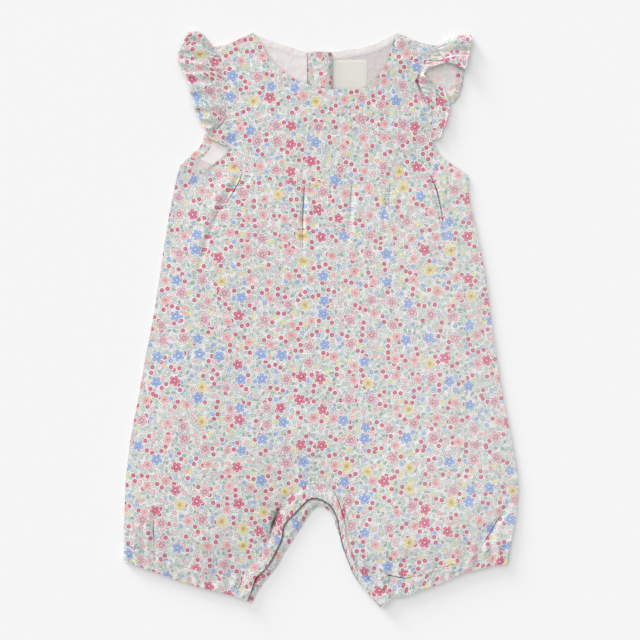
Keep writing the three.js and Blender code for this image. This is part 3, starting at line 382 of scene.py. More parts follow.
# %% Shells
def make_cloth(node, grids, materials, printed_down=False,
               thick=None, painted_shade_and_pale=0.0):
    """One closed shell. Its upper or outer side takes the first material, unless it is printed down.
    The last argument gives the upper side painted shade, as a number or a function of place and
    cut: above 0 it is painted darker, and below 0 it is painted paler."""
    name = node + "_cloth"
    points, cut, quads = welded(grids)
    count = len(points)
    normals = np.zeros((count, 3))
    across, down = points[quads[:, 2]] - points[quads[:, 0]], points[quads[:, 3]] - points[quads[:, 1]]
    facing = np.cross(across, down)
    height = points[quads].mean(1)[:, 2]
    level = abs(facing[:, 2].sum()) > 0.3 * np.abs(facing[:, 2]).sum()
    upward = facing[:, 2].sum() if level else (facing[:, 2] * (height - height.mean())).sum()
    if upward < 0:
        quads, facing = quads[:, ::-1], -facing
    for k in range(4):
        np.add.at(normals, quads[:, k], facing)
    normals /= np.linalg.norm(normals, axis=1, keepdims=True) + 1e-12
    half = (thick(cut) if thick else np.full(count, CLOTH)) / 2
    points[:, 2] += half - half.max()
    lift = half[:, None] * normals
    sides = np.vstack([points + lift, points - lift])
    sides[:, 2] = np.maximum(sides[:, 2], 0.0)
    edges = np.vstack([quads[:, [k, (k + 1) % 4]] for k in range(4)])
    codes, back_codes = edges[:, 0] * count + edges[:, 1], edges[:, 1] * count + edges[:, 0]
    rim = edges[~np.isin(codes, back_codes)]
    rim_quads = np.column_stack([rim[:, 0] + count, rim[:, 1] + count, rim[:, 1], rim[:, 0]])
    faces = np.vstack([quads, quads[:, ::-1] + count, rim_quads])
    sides[:, :2] += SHIFT
    mesh = bpy.data.meshes.new(name)
    mesh.from_pydata((sides * MM).tolist(), [], faces.tolist())
    for material in materials:
        mesh.materials.append(material)
    upper, lower = (1, 0) if printed_down else (0, 1)
    kinds = np.repeat([upper, lower, 0], [len(quads), len(quads), len(rim)])
    mesh.polygons.foreach_set("material_index", kinds.astype(np.int32))
    mesh.polygons.foreach_set("use_smooth", np.ones(len(faces), bool))
    ends = np.zeros(2 * len(mesh.edges), np.int32)
    mesh.edges.foreach_get("vertices", ends)
    ends = np.sort(ends.reshape(-1, 2), axis=1)
    border = np.sort(np.vstack([rim, rim + count]), axis=1)
    sharp = np.isin(ends @ [2 * count, 1], border @ [2 * count, 1])
    mesh.attributes.new("sharp_edge", "BOOLEAN", "EDGE").data.foreach_set("value", sharp)
    places = np.vstack([cut, cut])
    uv = mesh.uv_layers.new(name="cut")
    uv.data.foreach_set("uv", places[faces.ravel()].astype(np.float32).ravel())
    # Painted shade of each point: above 0 the upper side is painted darker grey, below 0 paler. The lower
    # side gets none.
    dark = mesh.attributes.new("painted_shade_and_pale", "FLOAT", "POINT")
    shade = painted_shade_and_pale(points, cut) if callable(painted_shade_and_pale) else np.full(count, painted_shade_and_pale)
    dark.data.foreach_set("value", np.concatenate([shade, 0 * shade]).astype(np.float32))
    obj = bpy.data.objects.new(name, mesh)
    scene.collection.objects.link(obj)
    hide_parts(node)
    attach(obj, "root")
    a, b = cut[quads[:, 2]] - cut[quads[:, 0]], cut[quads[:, 3]] - cut[quads[:, 1]]
    area = float(np.abs(a[:, 0] * b[:, 1] - a[:, 1] * b[:, 0]).sum() / 2) * MM**2
    flat = [float(size) for size in (cut.max(0) - cut.min(0)) * MM]
    area = min(area, flat[0] * flat[1])
    print(name, "quads", len(faces), "cut", [round(size / MM) for size in flat], "mm",
          round(area * 1e4), "cm2", "z", sides[:, 2].min().round(2), sides[:, 2].max().round(2))
    return obj


# %% [markdown]
# ## Sums in a shader
# The looks of the cloth could be a picture on its surface. Here they are sums over places of the
# cut cloth, in millimetres, which stay sharp from near and far. One small class lets an output
# of a shader node be added, multiplied and compared as a number is, which keeps the sums short.

# %% Shader maths
def operator(operation):
    """A method of Wire that makes a Math node of itself and a number or another wire."""
    def apply(self, other):
        return self.maths(operation, other)
    return apply


class Wire:
    """An output of a shader node, which works in sums as a number does. For masks, | is either
    and & is both."""

    def __init__(self, socket):
        self.socket = socket
        self.tree = socket.id_data

    def node(self, kind, inputs, output=0, **settings):
        """Any node: its inputs by name or number take numbers or wires."""
        made = self.tree.nodes.new("ShaderNode" + kind)
        for name, value in settings.items():
            setattr(made, name, value)
        for key, value in inputs.items():
            if isinstance(value, Wire):
                self.tree.links.new(value.socket, made.inputs[key])
            else:
                made.inputs[key].default_value = value
        return Wire(made.outputs[output])

    def other(self, output):
        """Another output of the same node."""
        return Wire(self.socket.node.outputs[output])

    def maths(self, operation, *others, clamp=False):
        return self.node("Math", dict(enumerate((self, *others))), operation=operation, use_clamp=clamp)

    def vector(self, operation, *others, output=0):
        return self.node("VectorMath", dict(enumerate((self, *others))), output, operation=operation)

    __add__ = __radd__ = operator("ADD")
    __sub__ = operator("SUBTRACT")
    __mul__ = __rmul__ = __and__ = operator("MULTIPLY")
    __truediv__ = operator("DIVIDE")
    __pow__ = operator("POWER")
    __or__ = operator("MAXIMUM")
    __gt__ = operator("GREATER_THAN")
    __lt__ = operator("LESS_THAN")

    def __rsub__(self, other):
        return self.maths("MULTIPLY_ADD", -1.0, other)

    def __abs__(self):
        return self.maths("ABSOLUTE")

    def axis(self, name):
        return self.node("SeparateXYZ", {0: self}, name)

    def within(self, edge, blur=0.4):
        """1 where the value is under edge, with a soft step of the width blur."""
        return self.maths("MULTIPLY_ADD", -1 / blur, edge / blur + 0.5, clamp=True)

    def paint(self, colour, mask):
        """This colour with another laid over it where the mask is 1."""
        return self.node("Mix", {0: mask, 6: self, 7: colour}, 2, data_type="RGBA")

    def steps(self, stops):
        """A colour for each stretch of the value: stops are (from, colour)."""
        made = self.node("ValToRGB", {0: self}).socket.node
        ramp = made.color_ramp
        ramp.interpolation = "CONSTANT"
        while len(ramp.elements) < len(stops):
            ramp.elements.new(0.5)
        for element, (position, colour) in zip(ramp.elements, stops):
            element.position = position
            element.color = colour
        return Wire(made.outputs[0])


def colour(text):
    """A linear colour from its usual six-digit name."""
    parts = [int(text[k:k + 2], 16) / 255 for k in (0, 2, 4)]
    return (*(p / 12.92 if p <= 0.04045 else ((p + 0.055) / 1.055) ** 2.4 for p in parts), 1.0)


print("middle grey", colour("808080"))


# %% [markdown]
# ## The print
# The cotton has a small print of flowers, buds, berries and leaves in pink, blue and yellow,
# over thin stems on off-white. Each kind has a layer of its own. A Voronoi texture gives each
# cell one mark, and the distance from its middle draws petals, rings and points. The same cell
# gives a chance that picks the colour. A little noise shakes the edges, as ink on cotton has.

# %% Colours of the print
GROUND = "ebe8e6"
FLOWERS = [  # from, petal, petal edge, middle
    (0.0, "e08a9d", "c4647d", "f0d3da"), (0.17, "a9bae0", "8aa3d2", "d3dcf0"),
    (0.37, "e8dda6", "d3c48a", "c9907f"), (0.46, "dfc4c9", "c8949f", "e6cacc"),
    (0.72, "e8bfbe", "dba7aa", "d5868f")]
BUDS = [  # from, fill, edge
    (0.0, "e9e0ac", "c9ca94"), (0.22, "aabfe6", "8fa6d4"), (0.38, "ecd0d0", "d59ba5"),
    (0.74, "ecbeb8", "e0a9a6"), (0.88, "c3cae6", "9ba5cd")]
print("flower colours", len(FLOWERS), "bud colours", len(BUDS))


# %% Scattered marks
def noise(cloth, scale, detail, output=0, **more):
    """A cloudy value over the cloth."""
    return cloth.node("TexNoise", {"Vector": cloth, "Scale": scale, "Detail": detail, **more}, output,
                      noise_dimensions="2D")


def scatter(cloth, cell, start, mess):
    """Marks one to a cell: where a point lies from its mark's middle, and two chances."""
    spot = cloth.vector("ADD", (start, 0.61 * start, 0.0))
    middle = spot.node("TexVoronoi", {"Vector": spot, "Scale": 1 / cell, "Randomness": mess},
                       "Position", voronoi_dimensions="2D")
    chance = middle.other("Color")
    away = spot.vector("SUBTRACT", middle)
    turned = away.node("VectorRotate", {"Vector": away, "Angle": chance.axis("Z") * TAU},
                       rotation_type="Z_AXIS")
    return turned.axis("X"), turned.axis("Y"), chance.axis("X"), chance.axis("Y")


def length(x, y):
    return (x * x + y * y) ** 0.5


def rings(drawn, reach, *layers):
    """The print under shapes round a mark: each is a colour, its reach and its blur."""
    for name, *edge in layers:
        drawn = drawn.paint(colour(name), reach.within(*edge))
    return drawn


def stops(table, column):
    """The colours of one column of a table, each from its share of the chances."""
    return [(row[0], colour(row[column])) for row in table]


print("shares of the flowers' colours", [start for start, _ in stops(FLOWERS, 1)])


# %% Stems, leaves, buds, berries and flowers
def draw_stems(drawn, cloth):
    """Two layers of thin stems that cross, then a few darker vines."""
    cloud = noise(cloth, 0.11, 1.0)
    lines = abs((cloud * 46.0).maths("SINE"))
    more = abs((noise(cloth, 0.07, 0.5, Distortion=1.0) * 60.0).maths("SINE"))
    mask = lines.within(0.16, 0.14) | more.within(0.12, 0.12)
    drawn = drawn.paint(colour("b4b8ba"), mask * 0.8)
    vines = abs((noise(cloth, 0.05, 1.0, Distortion=0.8) * 34.0).maths("SINE"))
    return drawn.paint(colour("8e9bb0"), (vines.within(0.09, 0.08) & (cloud > 0.5)) * 0.8)


def draw_leaves(drawn, cloth, start, cell, fill, edge):
    x, y, _, chance = scatter(cloth, cell, start, 0.85)
    lens = abs(y) + x * x * 0.30
    drawn = rings(drawn, lens, (GROUND, 1.75), (edge, 1.30))
    return drawn.paint(colour(fill), lens.within(0.72) & (chance < 0.75))


def draw_buds(drawn, cloth, start):
    x, y, chance, _ = scatter(cloth, 8.2, start, 0.8)
    reach = length(x, y * 1.25)
    drawn = rings(drawn, reach, (GROUND, 2.35))
    drawn = drawn.paint(chance.steps(stops(BUDS, 2)), reach.within(1.9))
    return drawn.paint(chance.steps(stops(BUDS, 1)), reach.within(1.25, 0.5))


def draw_berries(drawn, cloth, start):
    """Most are in pairs."""
    x, y, chance, _ = scatter(cloth, 13.2, start, 0.8)
    pair = length(abs(x) - 2.3, y) + (chance > 0.78) * 9.0
    single = length(x, y) + (chance < 0.78) * 9.0
    reach = pair.maths("MINIMUM", single)
    return rings(drawn, reach, (GROUND, 2.2), ("b85a72", 1.65, 0.5), ("e48398", 0.95, 0.9))


def draw_flowers(drawn, cloth, start):
    """Five round petals, a darker edge to them and a middle."""
    x, y, chance, second = scatter(cloth, 16.2, start, 0.7)
    size = second * 0.7 + 4.15 - (chance > 0.72) * 0.95
    reach = length(x, y) / size
    turn = y.maths("ARCTAN2", x) * (5 / TAU)
    fold = (turn.maths("FRACT") - 0.5) * (TAU / 5)
    petal = length(reach * fold.maths("COSINE") - 0.62, reach * fold.maths("SINE"))
    blunt = petal + ((chance > 0.72) * -0.05)
    blur = 0.05
    drawn = drawn.paint(colour(GROUND), blunt.within(0.46, blur) | reach.within(0.55, blur))
    edges = chance.steps(stops(FLOWERS, 2))
    drawn = drawn.paint(edges, blunt.within(0.35, blur) | reach.within(0.42, blur))
    drawn = drawn.paint(chance.steps(stops(FLOWERS, 1)), blunt.within(0.23, 0.14))
    return drawn.paint(chance.steps(stops(FLOWERS, 3)), reach.within(0.17, 0.12))


def floral(cloth):
    """The whole print, from the ground up. Its places are shaken a little, but for the berries."""
    shake = noise(cloth, 0.35, 1.0, "Color")
    shaken = shake.vector("MULTIPLY_ADD", (1.1, 1.1, 0.0), cloth)
    ground = cloth.node("Mix", {6: colour(GROUND), 7: colour(GROUND)}, 2, data_type="RGBA")
    drawn = draw_stems(ground, shaken)
    drawn = draw_leaves(drawn, shaken, 31.0, 4.5, "d3ddd8", "a9bcb4")
    drawn = draw_leaves(drawn, shaken, 207.0, 5.6, "e4e1df", "b3aeb2")
    drawn = draw_leaves(drawn, shaken, 471.0, 5.4, "c9d8d2", "9fb8ae")
    drawn = draw_buds(drawn, shaken, 93.0)
    drawn = draw_berries(drawn, cloth, 311.0)
    return draw_flowers(drawn, shaken, 777.0)


print("the print lies on", GROUND)


# %% [markdown]
# ## Painted shade in the creases
# Where the real cloth is pinched, the sharpest part of a fold is too narrow for the faces of the
# mesh. So the fold is in the mesh and the shade of its darkest line is painted into the colour:
# painted shade darkens the cloth close to short lines in the plan, and on one sleeve a painted
# highlight pales it along a ridge. A finer mesh could hold them, but it would need many times the faces.

# %% Sharp creases
# Lines of painted shade along creases, seams and hem edges.
CREASE_SHADE_LINES = {  # half width, then x, y and strength at each point
    "lower": [
        (0.8, (-60.6, 115, 0.5), (-62.4, 109, 1.25), (-67.5, 100, 1.2), (-72.5, 92, 0.8), (-80, 84, 0)),
        (0.7, (-12.2, 103.5, 0.9), (-13.3, 86, 1.3), (-13.6, 66, 0.6), (-13.3, 45, 0.4), (-13, 30, 0)),
        (0.8, (24.5, 104, 0.8), (22.5, 70, 0)),
        (0.8, (54.6, 106, 0.8), (51.6, 68, 0)),
        (1.0, (86.5, 112.5, 0.8), (91, 101, 1.3), (94, 88, 1.1), (98, 64, 0)),
        (2.4, (-26.5, -141, 0), (-33, -149, 0.7), (-36, -157, 1.5), (-39.5, -167, 0.8), (-44, -177, 0)),
        (0.7, (8.5, -128, 0.1), (14, -140, 1.1), (18, -151.5, 1.1), (19.8, -161, 0.6), (20.3, -169, 0)),
        (0.75, (144, -149, 0.2), (138, -156.5, 1.1), (132, -167, 1.0), (124, -179, 0)),
        (0.9, (-129.5, -153, 0.1), (-130, -165, 1.4), (-129.5, -174, 0)),
        (0.6, (-138.8, -154, 0.3), (-138.5, -166, 0.4), (-136.5, -180, 0.1)),
        (0.7, (71, -194, 0), (86, -194.5, 0.4), (90, -192, 0)),
        (1.4, (24, -178, 0), (28.5, -192, 0.5), (29.5, -198, 0))],
    "cuffs": [
        (0.7, (-116, -188.5, 0.6), (-108.5, -192.5, 0.3)),
        (0.7, (46, -193.5, 0.4), (53, -199, 1.1), (66, -201.5, 1.1), (76, -199.5, 0.5), (104, -193, 0)),
        (0.8, (44, -206, 0.4), (50, -211, 0.6), (57, -218, 0.2)),
        (0.9, (76.5, -210.5, 0.1), (94, -207, 0.9), (117, -197.5, 0.9), (134, -192, 0.3))],
    "sleeves": [
        (0.7, (-92.4, 216.3, 0.3), (-90, 213.3, 0.7), (-87, 211.5, 0.3)),
        (0.6, (-88, 205, 0.5), (-84.2, 203.8, 0.2)),
        (0.8, (-74, 165.5, 0.8), (-73.5, 158, 0.6), (-75.7, 153.9, 1.2), (-80.5, 149, 1.0)),
        (1.5, (77, 191, 0.7), (75.5, 187, 1.1), (77, 182.5, 1.0), (80.6, 174, 0.2)),
        (0.7, (80.6, 173.5, 0.5), (82.5, 170.3, 0.9), (87.3, 165.1, 0.5)),
        (0.6, (90.7, 177, 0.6), (91.2, 168, 0.6), (90.8, 163, 0)),
        (0.7, (90, 206, 0.1), (101, 203.8, 0.6), (108, 205, 0.1))]}
CREASE_SHADE_LINES["bodice"] = CREASE_SHADE_LINES["sleeves"][2:5]
CREASE_SHADE_LINES["lower"].append(CREASE_SHADE_LINES["cuffs"][1])
# A painted highlight along the ridge of a fold on the right sleeve.
RIDGE_HIGHLIGHTS = {"sleeves": [
    (1.0, (96, 203.5, 0.2), (98.8, 204.8, 0.8), (105.3, 206.1, 0.9), (115.5, 206.1, 0.7))]}


def crease_shade(cloth, lines):
    """Painted shade along the sharp creases at a place of the plan, in millimetres, fading out at each line's
    half width.
    """
    place = cloth.node("TexCoord", {}, "Object").vector("MULTIPLY", (1 / MM, 1 / MM, 0.0))
    dark = Wire(cloth.node("Value", {}).socket)
    for width, *path in lines:
        for (x0, y0, k0), (x1, y1, k1) in zip(path, path[1:]):
            way = Vector((x1 - x0, y1 - y0, 0))
            from_start = place.vector("SUBTRACT", (x0 + SHIFT[0], y0 + SHIFT[1], 0))
            share = from_start.vector("DOT_PRODUCT", way / way.length_squared, output="Value")
            share = share.maths("ADD", 0.0, clamp=True)
            along = share.node("VectorMath", {0: way, "Scale": share}, operation="SCALE")
            far = along.vector("DISTANCE", from_start, output="Value")
            strength = share.maths("MULTIPLY_ADD", k1 - k0, k0)
            dark = dark | far.maths("MULTIPLY_ADD", -1 / width, 1.0, clamp=True) * strength
    return dark


print("painted_creases", {part: len(lines) for part, lines in CREASE_SHADE_LINES.items()})


# %% [markdown]
# ## Materials
# Thin cotton is dull, with a soft crumple and a fine weave. They are a bump here, because they
# are finer than the mesh. The wrong side is the same print under pale cloth. The label is plain
# and woven, the buttons are pale plastic and the poppers are metal, each one even finish.

# %% Materials
# Pale paint for the rolled hems and for painted light, dark pink for painted shade in creases, grey for other
# painted shade, and the wrong side's pale cloth.
PALE_HEM_AND_LIGHT, CREASE_SHADE_PINK, SHADE_GREY, WRONG_SIDE = "f4f2f0", "40282f", "54484a", "ece6e4"


def new_material(name, base, roughness=0.9, bump=0.0, metallic=0.0, painted_creases=(), ridge_highlights=()):
    """A material whose base is a colour, or a function from the cut's place to a colour."""
    material = bpy.data.materials.new(name)
    material.use_nodes = True
    tree = material.node_tree
    shader = tree.nodes["Principled BSDF"]
    for key, value in (("Roughness", roughness), ("Metallic", metallic), ("Specular IOR Level", 0.25)):
        shader.inputs[key].default_value = value
    cloth = Wire(tree.nodes.new("ShaderNodeTexCoord").outputs["UV"])
    if callable(base):
        shade = Wire(tree.nodes.new("ShaderNodeAttribute").outputs["Fac"])
        shade.socket.node.attribute_name = "painted_shade_and_pale"
        # Painted light and shade from the mesh's attribute: below 0 the cloth is painted paler (painted
        # light, and the pale rolled hems), above 0 darker grey (painted shade).
        painted = base(cloth).paint(colour(PALE_HEM_AND_LIGHT), shade * -1.0 | 0.0)
        if painted_creases:
            # Painted shade along the creases, in a dark pink.
            painted = painted.paint(colour(CREASE_SHADE_PINK), crease_shade(cloth, painted_creases) * 0.8)
        if ridge_highlights:
            # A painted highlight along a ridge.
            painted = painted.paint(colour(PALE_HEM_AND_LIGHT), crease_shade(cloth, ridge_highlights))
        tree.links.new(painted.paint(colour(SHADE_GREY), shade | 0.0).socket, shader.inputs["Base Color"])
    else:
        shader.inputs["Base Color"].default_value = base
    if bump:
        crumple, weave = noise(cloth, 0.10, 3.0, Roughness=0.55), noise(cloth, 1.6, 2.0)
        height = crumple + weave * 0.06
        normal = height.node("Bump", {"Height": height, "Strength": 1.0, "Distance": bump}, "Normal")
        tree.links.new(normal.socket, shader.inputs["Normal"])
    return material


def wrong_side(paleness):
    """The back of the printed cloth, with the print showing faintly through."""
    return lambda cloth: floral(cloth).paint(colour(WRONG_SIDE), paleness)


printed = new_material("printed_cotton", floral, 0.92, bump=0.0011)
prints = {part: new_material("printed_" + part, floral, 0.92, bump=0.0011, painted_creases=lines,
                             ridge_highlights=RIDGE_HIGHLIGHTS.get(part)) for part, lines in CREASE_SHADE_LINES.items()}
wrong = new_material("wrong_side", wrong_side(0.87), 0.95, bump=0.0008)
wrong_sheer = new_material("wrong_side_sheer", wrong_side(0.68), 0.95, bump=0.0008)
label_cloth = new_material("woven_label", colour("e2dfd7"), 0.8, bump=0.0003)
button_plastic = new_material("button_plastic", colour("f4f1ec"), 0.35)
popper_metal = new_material("popper_metal", colour("c9cacc"), 0.35, metallic=1.0)
print("print nodes", len(printed.node_tree.nodes))


# %% [markdown]
# ## The back
# It lies flat on the table with its printed side down, so its pale wrong side shows at the neck
# and in the left armhole. What the front covers isn't seen, so each piece is an even patch
# between its seams. Narrow facings finish the neck and an armhole. They could be a rim of the
# same sheet, but as strips beside the same lines they have an edge of their own to catch light.

# %% Plan of the lower back
def flat(place, level, cut_shift):
    """A level sheet, whose cut is its plan."""
    def sheet_place(u, v):
        points = place(u, v)
        return stacked(points, level), points + cut_shift
    return sheet_place


def two_part(first, second, share):
    """One line after another, the first up to the given share."""
    def at(v):
        low = first(np.minimum(v / share, 1))
        high = second(np.clip((v - share) / (1 - share), 0, 1))
        return np.where((v <= share)[:, None], low, high)
    return at


def lower_half(side, kind, band_seam, top):
    """The plan of half a lower body: the crotch is at the share CROTCH of its height."""
    left = side == "left"
    apex = band_seam.share_of_most(lambda points: points[:, 1])
    centre = Line([top(1 if left else 0), band_seam(apex)])
    middle = two_part(centre, band_seam.part(apex, cuff_share[side]), CROTCH)
    cuff_seam = cuff_seams[side, kind]
    rise = 0.08 + 0.4 * (1 - cuff_seam.run / cuff_seam.length)
    seam = Line(cuff_seam.points + np.column_stack([0 * rise, rise]))
    outer = line[side + "_side"] + Line([line[side + "_side"](1), seam(0)])
    return patch(top, seam, outer, middle) if left else patch(top, seam.back(), middle, outer)


def back_tops():
    """The top line of each half of the lower back, with the armhole and seam of the bodice there."""
    tops = {}
    for side in SIDE_NAMES:
        left = side == "left"
        armhole, seam = line[side + "_back_armhole"], line[side + "_back_seam"]
        corner = seam(0 if left else 1)
        meets = armhole.share_of_most(lambda points: -np.linalg.norm(points - corner, axis=1))
        underarm = armhole.part(1, meets) if left else armhole.part(meets, 1)
        to_centre = Line([seam(1), (0, OPENING_LOW)] if left else [(0, OPENING_LOW), seam(0)])
        whole = underarm + seam + to_centre if left else to_centre + seam + underarm
        tops[side] = whole.moved(0, -0.04), armhole.part(0, meets), seam
    return tops


back_top = back_tops()
back_grids = [grid(30, 60, flat(lower_half(side, "back", back_band_seam, back_top[side][0]), BACK, (0, 700)))
              for side in SIDE_NAMES]
print("lower back", sum(len(part["points"]) for part in back_grids), "points")


# %% Leg band and facings
def strip(path, start, end, level, columns, rows, cut_start):
    """A strip beside a line, whose cut is straight."""
    edges = [path.offset(start), path.offset(end)]

    def place(u, v):
        points = edges[0](u) * (1 - v[:, None]) + edges[1](u) * v[:, None]
        heights = level(points, v) if callable(level) else level
        deep = FRONT_BAND_CUT if isinstance(end, list) else abs(end - start)
        return stacked(points, heights), np.column_stack([u * path.length, deep * v]) + cut_start
    return grid(columns, rows, place)


def thin(cut):
    """Thin cloth with a finer rim, which lies on what is under it."""
    inside = np.minimum(cut - cut.min(0), cut.max(0) - cut).min(1)
    return 0.08 + 0.18 * ease(inside / 2)


def beyond_front(points):
    """How far outside the front's inner legs."""
    return nearest(points[:, :2], line["front_legs"])[0]


def back_band_level(points, v):
    """The back band swells beside the front's edge, which leaves a narrow trench between them."""
    return BACK + 2.3 * ease((beyond_front(points) - 0.9) / 1.6) * ease(v * BACK_BAND / 4)


def trench(points, cut):
    """Painted shade beside the front's edge, in the narrow trench between the bands."""
    return 0.8 * np.exp(-(((beyond_front(points) - 0.4) / 0.75) ** 2))


make_cloth("leg_band_back", [strip(line["back_legs"], 0, BACK_BAND, back_band_level, 240, 20, (0, 900))],
           (printed, printed), printed_down=True, painted_shade_and_pale=trench)
facings = {"left": [], "right": []}
for side in SIDE_NAMES:
    neck_strip = strip(line[side + "_back_neck"], -0.2, -NECK_FACING, TRIM, 30, 8, (0, 960))
    facings[side].append(make_cloth(f"neck_facing_{side}", [neck_strip], (wrong, wrong),
                                    thick=thin))
armhole = line["left_back_armhole"].part(0.66, 0.985)
facings["left"].append(make_cloth(
    "armhole_facing_left", [strip(armhole, 0.2, ARMHOLE_FACING, TRIM, 30, 5, (100, 1000))],
    (printed, wrong), thick=thin))


# %% Lower back and back bodice
# Painted shade on the lower back by the left armhole opening.
make_cloth("back_lower", back_grids, (printed, wrong), printed_down=True,
           painted_shade_and_pale=lambda points, cut: 0.2 * (points[:, 0] < -75) * (points[:, 1] > 105))
# Painted light on the left back bodice by the armhole, and painted shade over all of the right one.
shades = {"left": lambda points, cut: np.where(points[:, 0] < -72, -0.3, 0.0), "right": 0.22}
for side in SIDE_NAMES:
    left = side == "left"
    armhole, seam = back_top[side][1:]
    neck, shoulder = line[side + "_back_neck"], line[side + "_shoulder"]
    opening_x = seam(1 if left else 0)[0]
    opening = Line([(opening_x, OPENING_TOP + 0.2), (opening_x, OPENING_LOW)])
    place = (patch(shoulder + neck, seam, armhole, opening) if left
             else patch(neck + shoulder, seam, opening, armhole))
    make_cloth(f"back_bodice_{side}", [grid(24, 30, flat(place, BACK, (300 if left else 500, 400)))],
               (printed, wrong), printed_down=True, painted_shade_and_pale=shades[side])


# %% [markdown]
# ## Button bands and label
# Two folded bands close the back opening, one over the other, and only their tops show at the
# neck. A band is alike all the way down, so its section is drawn once and carried down the
# opening. The label is a small woven square, left bare.

# %% Button bands and label
def band(profile, cut_start):
    """A folded band down the back opening, from its section (x, z) across."""
    section = smooth_points(profile, 6)
    run = np.concatenate([[0], np.cumsum(np.linalg.norm(np.diff(section, axis=0), axis=1))])

    def place(u, v):
        k = np.rint(u * (len(section) - 1)).astype(int)
        down = (OPENING_TOP - OPENING_LOW) * v
        points = np.column_stack([section[k, 0], OPENING_TOP - down, section[k, 1]])
        return points, np.column_stack([run[k], down]) + cut_start
    return grid(len(section) - 1, 40, place)


OVER = [(-3.8, 2.4), (1, 2.4), (6.6, 2.4), (8.2, 0.7), (9.1, 0.5)]
UNDER = [(-9.8, 0.5), (-9, 0.7), (-5.2, 3.7), (1, 3.72), (6, 3.6), (7.6, 2.9), (9.1, 1.5)]
make_cloth("button_band_over", [band(OVER, (200, 1000))], (printed, wrong))
# The under band has painted shade on its left slope.
make_cloth("button_band_under", [band(UNDER, (240, 1000))], (printed, wrong),
           painted_shade_and_pale=lambda points, cut: 0.3 * ease((-4 - points[:, 0]) / 2))


def label_place(u, v):
    x, y = LABEL_LEFT + LABEL_WIDE * u, LABEL_LOW + LABEL_LONG * (1 - v)
    return np.column_stack([x, y, np.full(len(u), TRIM)]), np.column_stack([x, y])


make_cloth("label", [grid(40, 40, label_place)], (label_cloth, label_cloth), thick=thin)
for node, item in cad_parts.items():
    if node.startswith(("button_", "popper_")) and "band" not in node:
        item.data.materials.clear()
        item.data.materials.append(button_plastic if node.startswith("button") else popper_metal)


# %% [markdown]
# ## The front
# The lower front hangs from the seam under the bust in six soft pleats, and elastic gathers it at
# the legs. Its cut is wider than the plan by what the pleats draw in, so the print is drawn in
# as well. Each half is one patch between four lines, which keeps the grid even into the leg.

# %% Gathers and soft shading
def pucker(points, to_cuff):
    """Uneven gathers where the elastic draws the leg in."""
    x = points[:, 0]
    waves = np.sin(x * 0.45 + 2.4 * np.sin(x / 10.3)) * (0.7 + 0.3 * np.sin(x / 17))
    return 0.8 * np.exp(-to_cuff / 9) * waves


def front_place(place, gathers, cut_start):
    """A sheet of the front, which is drawn in if it has gathers."""
    def sheet_place(u, v):
        points = place(u, v)
        level, drawn, to_cuff = front_level(points)
        level = np.maximum(level + gathers * pucker(points, to_cuff), SECOND)
        return stacked(points, level), points + np.column_stack([gathers * drawn, 0 * drawn]) + cut_start
    return sheet_place


def soft_shade(points, cut):
    """Slow painted shade: darker to the left, by the cuffs and by the crotch, and painted paler to the right.
    """
    x = points[:, 0] / 150
    to_cuff = distance(points[:, :2], *front_cuffs)
    to_band = distance(points[:, :2], front_band_seam)
    across = 0.05 * np.clip(-x, 0, 1) - 0.12 * np.clip(x, 0, 1)
    return across + 0.05 * np.exp(-to_cuff / 30) + 0.06 * np.exp(-to_band / 14)


print("shade at the left side", soft_shade(np.array([[-150.0, 0.0]]), None).round(3))


# %% Lower front and bodice
seam_middle = line["bust"].share_of_most(lambda points: -np.abs(points[:, 0]))
low_bust, left_underarm, right_underarm = (
    line[name].moved(0, -SEAM_GAP) for name in ("bust", "left_underarm", "right_underarm"))
front_tops = {"left": left_underarm + low_bust.part(0, seam_middle),
              "right": low_bust.part(seam_middle, 1) + right_underarm.back()}
lower_halves = [lower_half(side, "front", front_band_seam, front_tops[side]) for side in SIDE_NAMES]
lower_grids = [grid(124, 170, front_place(half, True, (0, 0))) for half in lower_halves]
make_cloth("front_lower", lower_grids, (prints["lower"], wrong),
           painted_shade_and_pale=soft_shade)
bodice_top = line["left_shoulder"] + line["front_neck"] + line["right_shoulder"]
bodice = patch(bodice_top, line["bust"].moved(0, SEAM_GAP), line["left_armhole"].back(),
               line["right_armhole"].back())
# The bodice has a little painted shade, more to the left.
make_cloth("front_bodice", [grid(120, 84, front_place(bodice, False, (40, 350)))],
           (prints["bodice"], wrong),
           painted_shade_and_pale=lambda points, cut: 0.02 - 0.03 * np.clip(points[:, 0] / 80, -1, 0))


def front_band_level(points, v):
    return BAND + 0.3 * np.sin(math.pi * np.clip(v * 1.1, 0, 1)) + 0.12 * ripple(points) * v * (1 - v)


front_band = strip(line["front_legs"], 0, FRONT_BAND, front_band_level, 240, 10, (0, 1030))
make_cloth("leg_band_front", [front_band], (prints["lower"], wrong))


# %% [markdown]
# ## Sleeves and cuffs
# Both are one sheet folded over: a front half, a round fold and a back half beneath it. A
# sleeve's rows give its seam and hem from the shoulder down, and waves between them make the
# flutter, which grows towards the free hem. Two separate layers would be simpler, but the fold
# at the shoulder shows, and it has to be round.

